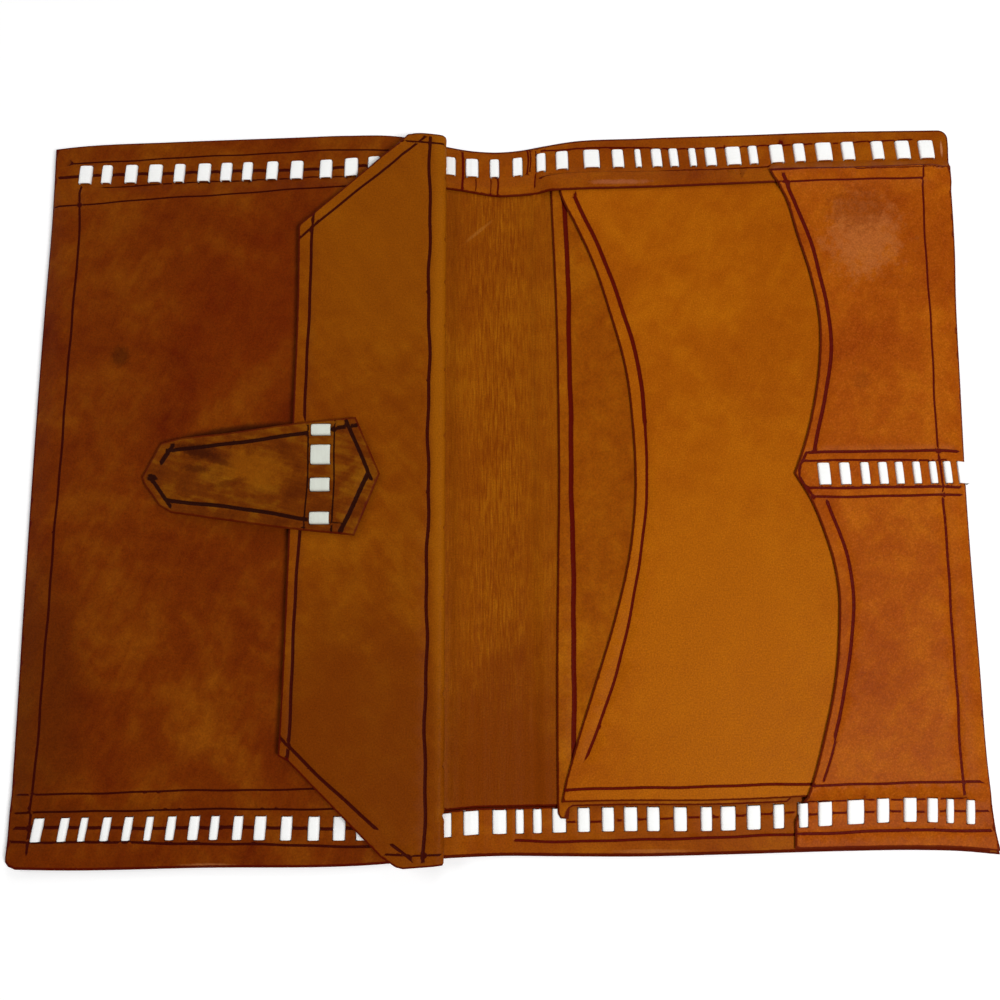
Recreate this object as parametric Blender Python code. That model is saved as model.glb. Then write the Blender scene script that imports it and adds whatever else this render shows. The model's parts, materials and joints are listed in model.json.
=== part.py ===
"""Tooled leather wallet, lying open, face up. All sizes are in millimetres.

X runs along the open length, Y from the lower edge to the upper edge, Z up from the table. The left wing
lies still. Two spine leaves and the right wing fold over it, and a flap with a tab swings open from it.
Every sheet of leather or board is its own solid. White flat lace runs up and down through slits.
"""

import bpy
from math import atan2, cos, hypot, pi, sin
from mathutils.geometry import delaunay_2d_cdt

MM = 0.001

# Fineness of the mesh
MERGE_DISTANCE = 1e-5
FOLD_OVERRUN = 5.0
CORNER_FACETS = 4
POCKET_CURVE_FACETS = 14
PANEL_CURVE_FACETS = 10
ROLL_FACETS = 8

# Overall size
OPEN_LENGTH = 300.0
HEIGHT = 233.2
SPINE_CENTRE_X = -0.7
OUTER_CORNER_RADIUS = 4.0
OUTER_CORNER_CUT = 2.5

# Sheet thicknesses
COVER_THICKNESS = 0.9
BOARD_THICKNESS = 0.5
LINING_THICKNESS = 0.5
STRIP_THICKNESS = 0.7
POCKET_THICKNESS = 0.6
CARD_PANEL_THICKNESS = 0.7
FRONT_PANEL_THICKNESS = 0.7
FLAP_THICKNESS = 0.8
TAB_THICKNESS = 0.8
LACE_THICKNESS = 0.5

# Clearances
SHEET_GAP = 0.25
BUTT_GAP = 0.3
SLIT_CLEARANCE = 0.3
CREASE_CLEARANCE = 0.3

# Lacing
LACE_WIDTH = 6.6
STITCH_PITCH = 7.3
STITCH_SPAN = 3.5
STITCH_SPAN_WOBBLE = 0.45
STITCH_SPAN_STRIDE = 2.3
STITCH_PLACE_WOBBLE = 0.4
STITCH_PLACE_STRIDE = 1.9
STEADY_STITCHES = 2
PITCHES_TO_OUTER_CREASE = 1.5
LACE_TAIL = 3.0
ROW_SLANT = 0.009
TOP_ROW_INSET = 8.8
BOTTOM_ROW_INSET = 11.2
TOP_ROW_END_MARGIN_LEFT = 12.7
TOP_ROW_END_MARGIN_RIGHT = 8.5
BOTTOM_ROW_END_MARGIN_LEFT = 9.2
BOTTOM_ROW_END_MARGIN_RIGHT = 7.2
MIDDLE_ROW_Y = -0.5
MIDDLE_ROW_PITCH = 5.4
MIDDLE_ROW_PITCH_GROWTH = 0.07
MIDDLE_ROW_SPAN = 2.6
MIDDLE_ROW_SPAN_GROWTH = 0.08
MIDDLE_ROW_END_MARGIN = 4.0

# Borders
STRIP_EDGE_INSET = 0.6
STRIP_INNER_MARGIN_TOP = 6.6
STRIP_TUCK = 4.8
SLIT_MARGIN = 0.4
DRAPE_RUN = 2.4

# Spine
SPINE_DRAW_IN_TOP = 3.0
SPINE_DRAW_IN_BOTTOM = 1.2
SPINE_ROW_DROP = 2.0
SPINE_LINING_TUCK = 2.5
SPINE_STRIP_FOLD_RUN = 1.6
CREASE_AXIS_RISE = 0.15

# Inner layers of the wings
BOARD_EDGE_INSET = 4.0
BOARD_BESIDE_POCKET = 5.0
LINING_EDGE_INSET = 3.0
FRONT_PANEL_EDGE_INSET = 0.4
POCKET_EDGE_INSET = 0.8

# Right wing pockets, measured from the right wing's crease
BACK_POCKET_SETBACK = 8.8
BACK_POCKET_TO_PANEL_FOOT = 1.5
MIDDLE_POCKET_HORN_SETBACK = 9.5
MIDDLE_POCKET_BULGE = 23.5
MIDDLE_POCKET_BOTTOM_STEP = 1.4
MIDDLE_POCKET_FOOT_CLEARANCE = 1.6
CARD_PANEL_HORN_SETBACK = 81.8
CARD_PANEL_BULGE = 11.8
CARD_PANEL_POINT_RISE = 1.0
CARD_PANEL_FOOT_STEP = 3.6
CARD_PANEL_EDGE_INSET = 1.2
CARD_PANEL_TOP_LAP = 3.6

# Flap
FLAP_ROLL_RADIUS = 1.9
FLAP_ROLL_TO_CREASE = 3.85
FLAP_REACH = 47.8
FLAP_TOP_INSET = 1.0
FLAP_BOTTOM_INSET = 0.2
FLAP_CHAMFER_LENGTH = 35.5
FLAP_CHAMFER_HEIGHT = 31.5
FLAP_LINING_INSET = 2.0
FLAP_LINING_TO_ROLL = 1.6
MOUTH_CLEARANCE = 1.0

# Tab
TAB_CENTRE_Y = 0.6
TAB_LAP_ON_FLAP = 21.0
TAB_POINT_LENGTH = 7.4
TAB_SHOULDER_WIDTH = 38.2
TAB_ROOT_WIDTH = 33.8
TONGUE_LENGTH = 47.5
TONGUE_TIP_WIDTH = 22.4
TONGUE_TIP_LENGTH = 7.5
TONGUE_TIP_FLAT = 3.0
TAB_LINING_INSET = 0.5
TAB_LACE_TO_FLAP_EDGE = 9.6
TAB_STITCH_EDGE_MARGIN = 2.95
TAB_STITCH_SPANS = (3.3, 3.7, 5.6, 3.2)
TUCK_SLIT_LENGTH = 18.0
TUCK_SLIT_WIDTH = 1.4
TUCK_SLIT_TO_FLAP_EDGE = 20.0

# Heights of the underside of each layer
LACE_UNDER_Z = 0.0
COVER_Z = LACE_UNDER_Z + LACE_THICKNESS + SHEET_GAP
BORDER_Z = COVER_Z + COVER_THICKNESS + SHEET_GAP
BOARD_Z = BORDER_Z
LINING_Z = BOARD_Z + BOARD_THICKNESS + SHEET_GAP
INNER_Z = LINING_Z + LINING_THICKNESS + SHEET_GAP
MIDDLE_POCKET_Z = INNER_Z + POCKET_THICKNESS + SHEET_GAP
CARD_PANEL_Z = MIDDLE_POCKET_Z + POCKET_THICKNESS + SHEET_GAP
STRIP_OVER_POCKETS_Z = CARD_PANEL_Z
CARD_PANEL_OVER_STRIP_Z = STRIP_OVER_POCKETS_Z + STRIP_THICKNESS + SHEET_GAP
CARD_PANEL_FOOT_Z = BORDER_Z + STRIP_THICKNESS + SHEET_GAP
SPINE_LINING_Z = BORDER_Z
SPINE_STRIP_INNER_Z = SPINE_LINING_Z + LINING_THICKNESS + SHEET_GAP
BORDER_SHEET_THICKNESS = max(STRIP_THICKNESS, FRONT_PANEL_THICKNESS)
LACE_OVER_Z = BORDER_Z + BORDER_SHEET_THICKNESS + SHEET_GAP
LACE_OVER_PANEL_Z = CARD_PANEL_FOOT_Z + CARD_PANEL_THICKNESS + SHEET_GAP
SPINE_TOP_Z = max(LACE_OVER_Z + LACE_THICKNESS, SPINE_STRIP_INNER_Z + STRIP_THICKNESS)
CREASE_Z = SPINE_TOP_Z + CREASE_AXIS_RISE
ROLL_CLEAR_Z = max(SPINE_TOP_Z, LINING_Z + LINING_THICKNESS) + SHEET_GAP
FRONT_PANEL_TOP_Z = INNER_Z + FRONT_PANEL_THICKNESS
ROOM_UNDER_FLAP = LACE_THICKNESS + LINING_THICKNESS + 3 * SHEET_GAP
FLAP_AXIS_Z = max(ROLL_CLEAR_Z + FLAP_ROLL_RADIUS,
                  FRONT_PANEL_TOP_Z + ROOM_UNDER_FLAP + FLAP_THICKNESS - FLAP_ROLL_RADIUS)
FLAP_Z = FLAP_AXIS_Z + FLAP_ROLL_RADIUS - FLAP_THICKNESS
FLAP_LINING_Z = FLAP_Z - SHEET_GAP - LINING_THICKNESS
TAB_LACE_UNDER_Z = FLAP_LINING_Z - SHEET_GAP - LACE_THICKNESS
TAB_LINING_Z = FLAP_Z + FLAP_THICKNESS + SHEET_GAP
TAB_Z = TAB_LINING_Z + LINING_THICKNESS + SHEET_GAP
TAB_LACE_OVER_Z = TAB_Z + TAB_THICKNESS + SHEET_GAP
TAB_AXIS_Z = TAB_Z + TAB_THICKNESS

# Places along X
LEFT_X = -OPEN_LENGTH / 2
RIGHT_X = OPEN_LENGTH / 2
CREASE_SPACING = PITCHES_TO_OUTER_CREASE * STITCH_PITCH
CREASE_LEFT_X = SPINE_CENTRE_X - CREASE_SPACING
CREASE_MID_X = SPINE_CENTRE_X
CREASE_RIGHT_X = SPINE_CENTRE_X + CREASE_SPACING
HALF_CREASE = CREASE_CLEARANCE / 2
FLAP_AXIS_X = CREASE_LEFT_X - FLAP_ROLL_TO_CREASE - FLAP_ROLL_RADIUS
FLAP_EDGE_X = FLAP_AXIS_X - FLAP_REACH
MOUTH_X = FLAP_AXIS_X - FLAP_ROLL_RADIUS - MOUTH_CLEARANCE
BACK_POCKET_X = CREASE_RIGHT_X + BACK_POCKET_SETBACK
MIDDLE_POCKET_HORN_X = CREASE_RIGHT_X + MIDDLE_POCKET_HORN_SETBACK
CARD_PANEL_HORN_X = CREASE_RIGHT_X + CARD_PANEL_HORN_SETBACK
POCKET_RIGHT_X = RIGHT_X - POCKET_EDGE_INSET

# Places along Y; a row's places are given where X is 0, and they climb to the right by the slant
TOP_Y = HEIGHT / 2
BOTTOM_Y = -HEIGHT / 2
TOP_ROW_Y = TOP_Y - TOP_ROW_INSET
BOTTOM_ROW_Y = BOTTOM_Y + BOTTOM_ROW_INSET
SLIT_LENGTH = LACE_WIDTH + 2 * SLIT_CLEARANCE
SLIT_WIDTH = LACE_THICKNESS + 2 * SLIT_CLEARANCE
TOP_SLIT_END_Y = TOP_ROW_Y - SLIT_LENGTH / 2
BOTTOM_SLIT_END_Y = BOTTOM_ROW_Y + SLIT_LENGTH / 2
TOP_DRAPE_Y = TOP_SLIT_END_Y - SLIT_MARGIN
BOTTOM_DRAPE_Y = BOTTOM_SLIT_END_Y + SLIT_MARGIN
INNER_TOP_Y = TOP_DRAPE_Y - DRAPE_RUN - BUTT_GAP
INNER_BOTTOM_Y = BOTTOM_DRAPE_Y + DRAPE_RUN + BUTT_GAP
STRIP_INNER_TOP_Y = TOP_SLIT_END_Y - STRIP_INNER_MARGIN_TOP
STRIP_TUCKED_BOTTOM_Y = BOTTOM_SLIT_END_Y + STRIP_TUCK
BACK_POCKET_BOTTOM_Y = BOTTOM_SLIT_END_Y + SLIT_MARGIN
MIDDLE_POCKET_BOTTOM_Y = BACK_POCKET_BOTTOM_Y + MIDDLE_POCKET_BOTTOM_STEP
CARD_PANEL_TOP_Y = STRIP_INNER_TOP_Y + CARD_PANEL_TOP_LAP


def climb(y, x):
    """Y of a point that lies on a slanted row line."""
    return y + ROW_SLANT * x


def arc_through(first, middle, last, steps):
    """Points on the circle through three points, from the first to the last."""
    (ax, ay), (bx, by), (cx, cy) = first, middle, last
    det = 2 * (ax * (by - cy) + bx * (cy - ay) + cx * (ay - by))
    a2, b2, c2 = ax * ax + ay * ay, bx * bx + by * by, cx * cx + cy * cy
    ox = (a2 * (by - cy) + b2 * (cy - ay) + c2 * (ay - by)) / det
    oy = (a2 * (cx - bx) + b2 * (ax - cx) + c2 * (bx - ax)) / det
    radius = hypot(ax - ox, ay - oy)
    start = atan2(ay - oy, ax - ox)
    turn = (atan2(cy - oy, cx - ox) - start + pi) % (2 * pi) - pi
    angles = [start + turn * i / steps for i in range(steps + 1)]
    return [(ox + radius * cos(a), oy + radius * sin(a)) for a in angles]


def inside(x, y, polygon):
    """True where a point lies inside a closed outline."""
    hit = False
    for (ax, ay), (bx, by) in zip(polygon, polygon[1:] + polygon[:1]):
        if (ay > y) != (by > y) and x < ax + (bx - ax) * (y - ay) / (by - ay):
            hit = not hit
    return hit


def make_object(name, verts, faces, material, pivot):
    """A mesh object whose origin is its body's pivot."""
    px, py, pz = pivot.place
    mesh = bpy.data.meshes.new(name)
    mesh.from_pydata([((x - px) * MM, (y - py) * MM, (z - pz) * MM) for x, y, z in verts], [], faces)
    mesh.materials.append(material)
    mesh.validate()
    piece = bpy.data.objects.new(name, mesh)
    bpy.context.scene.collection.objects.link(piece)
    piece.parent = pivot.empty
    return piece


def sheet(name, outline, thickness, place, material, pivot, holes=(), folds=()):
    """A sheet cut to an outline, with holes, bent along fold lines by its place function."""
    loops = [outline] + list(holes)
    points = []
    edges = []
    for loop in loops:
        base = len(points)
        points += loop
        edges += [(base + i, base + (i + 1) % len(loop)) for i in range(len(loop))]
    for start, end in folds:
        edges.append((len(points), len(points) + 1))
        points += [start, end]
    flat, _, triangles, *_ = delaunay_2d_cdt(points, edges, [], 0, MERGE_DISTANCE, False)
    kept = []
    for tri in triangles:
        x = sum(flat[i][0] for i in tri) / 3
        y = sum(flat[i][1] for i in tri) / 3
        if inside(x, y, outline) and not any(inside(x, y, hole) for hole in holes):
            a, b, c = (flat[i] for i in tri)
            turn = (b[0] - a[0]) * (c[1] - a[1]) - (b[1] - a[1]) * (c[0] - a[0])
            kept.append(tuple(tri) if turn > 0 else tuple(reversed(tri)))
    used = sorted({i for tri in kept for i in tri})
    index = {old: new for new, old in enumerate(used)}
    count = len(used)
    verts = [place(flat[i][0], flat[i][1], 0.0) for i in used]
    verts += [place(flat[i][0], flat[i][1], thickness) for i in used]
    faces = [tuple(index[i] for i in reversed(tri)) for tri in kept]
    faces += [tuple(index[i] + count for i in tri) for tri in kept]
    directed = {(tri[i], tri[(i + 1) % 3]) for tri in kept for i in range(3)}
    for a, b in sorted(directed):
        if (b, a) not in directed:
            faces.append((index[a], index[b], index[b] + count, index[a] + count))
    return make_object(name, verts, faces, material, pivot)


def flat_at(z):
    """Places a sheet flat at one height."""
    return lambda x, y, up: (x, y, z + up)


def draped(steps):
    """Places a sheet whose height follows the slanted row coordinate through (row y, z) steps."""
    def place(x, y, up):
        row_y = y - ROW_SLANT * x
        if row_y <= steps[0][0]:
            return (x, y, steps[0][1] + up)
        for (y0, z0), (y1, z1) in zip(steps, steps[1:]):
            if row_y <= y1:
                return (x, y, z0 + (z1 - z0) * (row_y - y0) / (y1 - y0) + up)
        return (x, y, steps[-1][1] + up)
    return place


def row_folds(steps, x0, x1):
    """The fold lines of a draped sheet, run a little past its ends."""
    start, end = x0 - FOLD_OVERRUN, x1 + FOLD_OVERRUN
    return [((start, climb(y, start)), (end, climb(y, end))) for y, _ in steps]


def band(x0, x1, low_y, high_y):
    """An outline whose long edges follow the row slant."""
    return [(x0, climb(low_y, x0)), (x1, climb(low_y, x1)), (x1, climb(high_y, x1)), (x0, climb(high_y, x0))]


def slit(x, row_y):
    """A slit across the row, as an outline."""
    x0, x1 = x - SLIT_WIDTH / 2, x + SLIT_WIDTH / 2
    half = SLIT_LENGTH / 2
    return [(x0, climb(row_y - half, x0)), (x1, climb(row_y - half, x1)),
            (x1, climb(row_y + half, x1)), (x0, climb(row_y + half, x0))]


def stitches(end_left, end_right):
    """Start and end X of each stitch of a long row, counted out from the middle of the spine."""
    row = []
    for side, reach in ((-1, SPINE_CENTRE_X - LEFT_X - end_left), (1, RIGHT_X - SPINE_CENTRE_X - end_right)):
        count = round(reach / STITCH_PITCH)
        for k in range(0 if side > 0 else 1, count + 1):
            hand = 0.0 if k <= STEADY_STITCHES or k == count else 1.0
            drift = hand * STITCH_PLACE_WOBBLE * sin(STITCH_PLACE_STRIDE * k)
            centre = SPINE_CENTRE_X + side * (k * reach / count + drift)
            span = STITCH_SPAN + hand * STITCH_SPAN_WOBBLE * sin(STITCH_SPAN_STRIDE * k + side)
            row.append((centre - span / 2, centre + span / 2))
    return sorted(row)


def lace_route(row, over_z, under_z, tail_left, tail_right):
    """Centre line of a lace as (x, z) points: under the cover, up at each start, down at each end."""
    half = LACE_THICKNESS / 2
    low = under_z + half
    route = [(row[0][0] - tail_left, low)]
    for start, end in row:
        high = over_z((start + end) / 2) + half
        route += [(start, low), (start, high), (end, high), (end, low)]
    route.append((row[-1][1] + tail_right, low))
    return route


def clip_route(route, x0, x1):
    """The stretch of a lace's centre line between two X places."""
    kept = []
    for (ax, az), (bx, bz) in zip(route, route[1:]):
        if bx < x0 or ax > x1:
            continue
        start, end = (max(ax, x0), az), (min(bx, x1), bz)
        if not kept or kept[-1] != start:
            kept.append(start)
        if end != start:
            kept.append(end)
    return kept


def ribbon(name, route, across, material, pivot):
    """A flat strip swept along a route of level and upright runs; across(a, up, side) places a corner."""
    half = LACE_THICKNESS / 2
    verts = []
    for i, (a, z) in enumerate(route):
        before = route[max(i - 1, 0)]
        after = route[min(i + 1, len(route) - 1)]
        steps = [(a - before[0], z - before[1]), (after[0] - a, after[1] - z)]
        normals = [(-dz / hypot(da, dz), da / hypot(da, dz)) for da, dz in steps if hypot(da, dz) > 0]
        na = sum(n[0] for n in normals) / (1 if normals[0] != normals[-1] else len(normals))
        nz = sum(n[1] for n in normals) / (1 if normals[0] != normals[-1] else len(normals))
        for sign, side in ((-1, 1), (1, 1), (1, -1), (-1, -1)):
            verts.append(across(a + sign * na * half, z + sign * nz * half, side))
    faces = [(3, 2, 1, 0)]
    last = 4 * (len(route) - 1)
    for base in range(0, last, 4):
        for i in range(4):
            j = (i + 1) % 4
            faces.append((base + i, base + j, base + 4 + j, base + 4 + i))
    faces.append((last, last + 1, last + 2, last + 3))
    return make_object(name, verts, faces, material, pivot)


def row_lace(name, route, row_y, x0, x1, pivot):
    """The part of a long row's lace that lies between two X places."""
    def across(x, z, side):
        return (x, climb(row_y + side * LACE_WIDTH / 2, x), z)
    return ribbon(name, clip_route(route, x0, x1), across, WHITE_LACE, pivot)


def slits_between(row, row_y, x0, x1):
    """The slits of a row whose middles lie between two X places."""
    return [slit(x, row_y) for stitch in row for x in stitch if x0 < x < x1]


def finish(name, colour, roughness):
    """A plain surface finish."""
    material = bpy.data.materials.new(name)
    material.use_nodes = True
    shader = material.node_tree.nodes["Principled BSDF"]
    shader.inputs["Base Color"].default_value = (*colour, 1.0)
    shader.inputs["Roughness"].default_value = roughness
    shader.inputs["Metallic"].default_value = 0.0
    return material


class Pivot:
    """A body's place: an empty on its joint axis, carried by the pivot of the body it turns on."""

    def __init__(self, name, place, parent=None):
        self.place = place
        self.empty = bpy.data.objects.new(name, None)
        bpy.context.scene.collection.objects.link(self.empty)
        base = parent.place if parent else (0.0, 0.0, 0.0)
        self.empty.location = tuple((a - b) * MM for a, b in zip(place, base))
        if parent:
            self.empty.parent = parent.empty


for old in list(bpy.data.objects):
    bpy.data.objects.remove(old)

COVER_LEATHER = finish("cover_leather", (0.215, 0.068, 0.010), 0.50)
LINING_LEATHER = finish("lining_leather", (0.260, 0.072, 0.004), 0.55)
STRIP_LEATHER = finish("strip_leather", (0.235, 0.070, 0.006), 0.50)
FRONT_LEATHER = finish("front_panel_leather", (0.165, 0.034, 0.004), 0.50)
FLAP_LEATHER = finish("flap_leather", (0.270, 0.085, 0.006), 0.50)
POCKET_LEATHER = finish("pocket_leather", (0.340, 0.105, 0.004), 0.50)
CARD_LEATHER = finish("card_pocket_leather", (0.310, 0.080, 0.012), 0.48)
BOARD_GREY = finish("stiffener_board", (0.330, 0.260, 0.180), 0.85)
WHITE_LACE = finish("white_lace", (0.880, 0.880, 0.850), 0.45)

LEFT_WING = Pivot("left_wing", (0.0, 0.0, 0.0))
SPINE_LEFT = Pivot("spine_left", (CREASE_LEFT_X, 0.0, CREASE_Z), LEFT_WING)
SPINE_RIGHT = Pivot("spine_right", (CREASE_MID_X, 0.0, CREASE_Z), SPINE_LEFT)
RIGHT_WING = Pivot("right_wing", (CREASE_RIGHT_X, 0.0, CREASE_Z), SPINE_RIGHT)
FLAP = Pivot("flap", (FLAP_AXIS_X, 0.0, FLAP_AXIS_Z), LEFT_WING)
TAB = Pivot("tab", (FLAP_EDGE_X, TAB_CENTRE_Y, TAB_AXIS_Z), FLAP)

TOP_ROW = stitches(TOP_ROW_END_MARGIN_LEFT, TOP_ROW_END_MARGIN_RIGHT)
BOTTOM_ROW = stitches(BOTTOM_ROW_END_MARGIN_LEFT, BOTTOM_ROW_END_MARGIN_RIGHT)


def panel_foot_x():
    """Left edge of the card panel's foot: the middle of the bar nearest to the panel's lower horn."""
    wanted = CARD_PANEL_HORN_X - CARD_PANEL_FOOT_STEP
    bars = [(a[1] + b[0]) / 2 for a, b in zip(BOTTOM_ROW, BOTTOM_ROW[1:])]
    return min(bars, key=lambda x: abs(x - wanted))


PANEL_FOOT_X = panel_foot_x()
LEFT_END_X = CREASE_LEFT_X - HALF_CREASE
RIGHT_START_X = CREASE_RIGHT_X + HALF_CREASE
SPINE_SPANS = ((SPINE_LEFT, "spine_left", CREASE_LEFT_X + HALF_CREASE, CREASE_MID_X - HALF_CREASE),
               (SPINE_RIGHT, "spine_right", CREASE_MID_X + HALF_CREASE, CREASE_RIGHT_X - HALF_CREASE))


def rounded_right_side(x, low_y, high_y):
    """A right side that runs up and ends in the rounded upper corner of the wallet."""
    r = OUTER_CORNER_RADIUS
    s = r * (1 - cos(pi / 4))
    corner = arc_through((x, high_y - r), (x - s, high_y - s), (x - r, high_y), CORNER_FACETS)
    return [(x, low_y)] + corner


def cut_left_side(x, low_y, high_y):
    """A left side that runs down and ends in the clipped lower corner of the wallet."""
    return [(x, high_y), (x, low_y + OUTER_CORNER_CUT), (x + OUTER_CORNER_CUT, low_y)]


def make_covers():
    """The outer cover: two wings and the two leaves of the spine, with the slits of both long rows."""
    place = flat_at(COVER_Z)
    slits = slits_between(TOP_ROW, TOP_ROW_Y, LEFT_X, LEFT_END_X)
    slits += slits_between(BOTTOM_ROW, BOTTOM_ROW_Y, LEFT_X, LEFT_END_X)
    outline = [(LEFT_END_X, BOTTOM_Y), (LEFT_END_X, TOP_Y)] + cut_left_side(LEFT_X, BOTTOM_Y, TOP_Y)
    sheet("cover_left", outline, COVER_THICKNESS, place, COVER_LEATHER, LEFT_WING, slits)
    for pivot, name, x0, x1 in SPINE_SPANS:
        low, high = BOTTOM_Y + SPINE_DRAW_IN_BOTTOM, TOP_Y - SPINE_DRAW_IN_TOP
        slits = slits_between(TOP_ROW, TOP_ROW_Y - SPINE_ROW_DROP, x0, x1)
        slits += slits_between(BOTTOM_ROW, BOTTOM_ROW_Y, x0, x1)
        outline = [(x0, low), (x1, low), (x1, high), (x0, high)]
        sheet("cover_" + name, outline, COVER_THICKNESS, place, COVER_LEATHER, pivot, slits)
    slits = slits_between(TOP_ROW, TOP_ROW_Y, RIGHT_START_X, RIGHT_X)
    slits += slits_between(BOTTOM_ROW, BOTTOM_ROW_Y, RIGHT_START_X, RIGHT_X)
    outline = [(RIGHT_START_X, BOTTOM_Y)] + rounded_right_side(RIGHT_X, BOTTOM_Y, TOP_Y)
    outline.append((RIGHT_START_X, TOP_Y))
    sheet("cover_right", outline, COVER_THICKNESS, place, COVER_LEATHER, RIGHT_WING, slits)


def make_inner_layers():
    """The board stiffeners and the linings; both stop inboard of the lace."""
    left_low, left_high = INNER_BOTTOM_Y, INNER_TOP_Y
    right_low, right_high = STRIP_TUCKED_BOTTOM_Y + BUTT_GAP, INNER_TOP_Y
    board_left = band(LEFT_X + BOARD_EDGE_INSET, MOUTH_X, left_low, left_high)
    sheet("stiffener_left", board_left, BOARD_THICKNESS, flat_at(BOARD_Z), BOARD_GREY, LEFT_WING)
    board_right = band(BACK_POCKET_X - BOARD_BESIDE_POCKET, RIGHT_X - BOARD_EDGE_INSET, right_low, right_high)
    sheet("stiffener_right", board_right, BOARD_THICKNESS, flat_at(BOARD_Z), BOARD_GREY, RIGHT_WING)
    lining_left = band(LEFT_X + LINING_EDGE_INSET, LEFT_END_X, left_low, left_high)
    sheet("lining_left", lining_left, LINING_THICKNESS, flat_at(LINING_Z), LINING_LEATHER, LEFT_WING)
    lining_right = band(RIGHT_START_X, RIGHT_X - LINING_EDGE_INSET, right_low, right_high)
    sheet("lining_right", lining_right, LINING_THICKNESS, flat_at(LINING_Z), LINING_LEATHER, RIGHT_WING)
    low = BOTTOM_DRAPE_Y + BUTT_GAP
    high = STRIP_INNER_TOP_Y - SPINE_ROW_DROP + SPINE_LINING_TUCK
    for pivot, name, x0, x1 in SPINE_SPANS:
        sheet("lining_" + name, band(x0, x1, low, high), LINING_THICKNESS, flat_at(SPINE_LINING_Z),
              LINING_LEATHER, pivot)


def make_border_strips():
    """The inner strips that the lace holds along the upper and lower edges."""
    top_edge, bottom_edge = TOP_Y - STRIP_EDGE_INSET, BOTTOM_Y + STRIP_EDGE_INSET
    x0, x1 = MOUTH_X + BUTT_GAP, LEFT_END_X
    low, high = climb(TOP_DRAPE_Y, x0), climb(TOP_DRAPE_Y, x1)
    sheet("border_strip_top_left", [(x0, low), (x1, high), (x1, top_edge), (x0, top_edge)], STRIP_THICKNESS,
          flat_at(BORDER_Z), STRIP_LEATHER, LEFT_WING, slits_between(TOP_ROW, TOP_ROW_Y, x0, x1))
    low, high = climb(BOTTOM_DRAPE_Y, x0), climb(BOTTOM_DRAPE_Y, x1)
    sheet("border_strip_bottom_left", [(x0, bottom_edge), (x1, bottom_edge), (x1, high), (x0, low)],
          STRIP_THICKNESS, flat_at(BORDER_Z), STRIP_LEATHER, LEFT_WING,
          slits_between(BOTTOM_ROW, BOTTOM_ROW_Y, x0, x1))
    inner = STRIP_INNER_TOP_Y - SPINE_ROW_DROP
    tucked = inner + SPINE_LINING_TUCK + BUTT_GAP
    steps = [(tucked, SPINE_STRIP_INNER_Z), (tucked + SPINE_STRIP_FOLD_RUN, BORDER_Z)]
    for pivot, name, x0, x1 in SPINE_SPANS:
        high = top_edge - SPINE_DRAW_IN_TOP
        outline = [(x0, climb(inner, x0)), (x1, climb(inner, x1)), (x1, high), (x0, high)]
        sheet("border_strip_top_" + name, outline, STRIP_THICKNESS, draped(steps), STRIP_LEATHER, pivot,
              slits_between(TOP_ROW, TOP_ROW_Y - SPINE_ROW_DROP, x0, x1), row_folds(steps, x0, x1))
        low = bottom_edge + SPINE_DRAW_IN_BOTTOM
        outline = [(x0, low), (x1, low), (x1, climb(BOTTOM_DRAPE_Y, x1)), (x0, climb(BOTTOM_DRAPE_Y, x0))]
        sheet("border_strip_bottom_" + name, outline, STRIP_THICKNESS, flat_at(BORDER_Z), STRIP_LEATHER,
              pivot, slits_between(BOTTOM_ROW, BOTTOM_ROW_Y, x0, x1))
    x0, x1 = RIGHT_START_X, RIGHT_X - STRIP_EDGE_INSET
    steps = [(INNER_TOP_Y + BUTT_GAP, STRIP_OVER_POCKETS_Z), (TOP_DRAPE_Y, BORDER_Z)]
    outline = [(x0, climb(STRIP_INNER_TOP_Y, x0))]
    outline += rounded_right_side(x1, climb(STRIP_INNER_TOP_Y, x1), top_edge) + [(x0, top_edge)]
    sheet("border_strip_top_right", outline, STRIP_THICKNESS, draped(steps), STRIP_LEATHER, RIGHT_WING,
          slits_between(TOP_ROW, TOP_ROW_Y, x0, x1), row_folds(steps, x0, x1))
    tuck = STRIP_TUCKED_BOTTOM_Y
    outline = [(x0, bottom_edge), (x1, bottom_edge), (x1, climb(tuck, x1)), (x0, climb(tuck, x0))]
    sheet("border_strip_bottom_right", outline, STRIP_THICKNESS, flat_at(BORDER_Z), STRIP_LEATHER,
          RIGHT_WING, slits_between(BOTTOM_ROW, BOTTOM_ROW_Y, x0, x1))


def make_front_panel():
    """The left wing's pocket front, from edge to edge, with its mouth under the flap's roll."""
    inset = FRONT_PANEL_EDGE_INSET
    low, high = BOTTOM_Y + inset, TOP_Y - inset
    outline = [(MOUTH_X, low), (MOUTH_X, high)] + cut_left_side(LEFT_X + inset, low, high)
    steps = [(BOTTOM_DRAPE_Y, BORDER_Z), (BOTTOM_DRAPE_Y + DRAPE_RUN, INNER_Z),
             (TOP_DRAPE_Y - DRAPE_RUN, INNER_Z), (TOP_DRAPE_Y, BORDER_Z)]
    holes = slits_between(TOP_ROW, TOP_ROW_Y, LEFT_X, MOUTH_X)
    holes += slits_between(BOTTOM_ROW, BOTTOM_ROW_Y, LEFT_X, MOUTH_X)
    x = FLAP_EDGE_X - TUCK_SLIT_TO_FLAP_EDGE
    half_x, half_y = TUCK_SLIT_WIDTH / 2, TUCK_SLIT_LENGTH / 2
    holes.append([(x - half_x, TAB_CENTRE_Y - half_y), (x + half_x, TAB_CENTRE_Y - half_y),
                  (x + half_x, TAB_CENTRE_Y + half_y), (x - half_x, TAB_CENTRE_Y + half_y)])
    sheet("pocket_front_left", outline, FRONT_PANEL_THICKNESS, draped(steps), FRONT_LEATHER, LEFT_WING,
          holes, row_folds(steps, LEFT_X, MOUTH_X))


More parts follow.
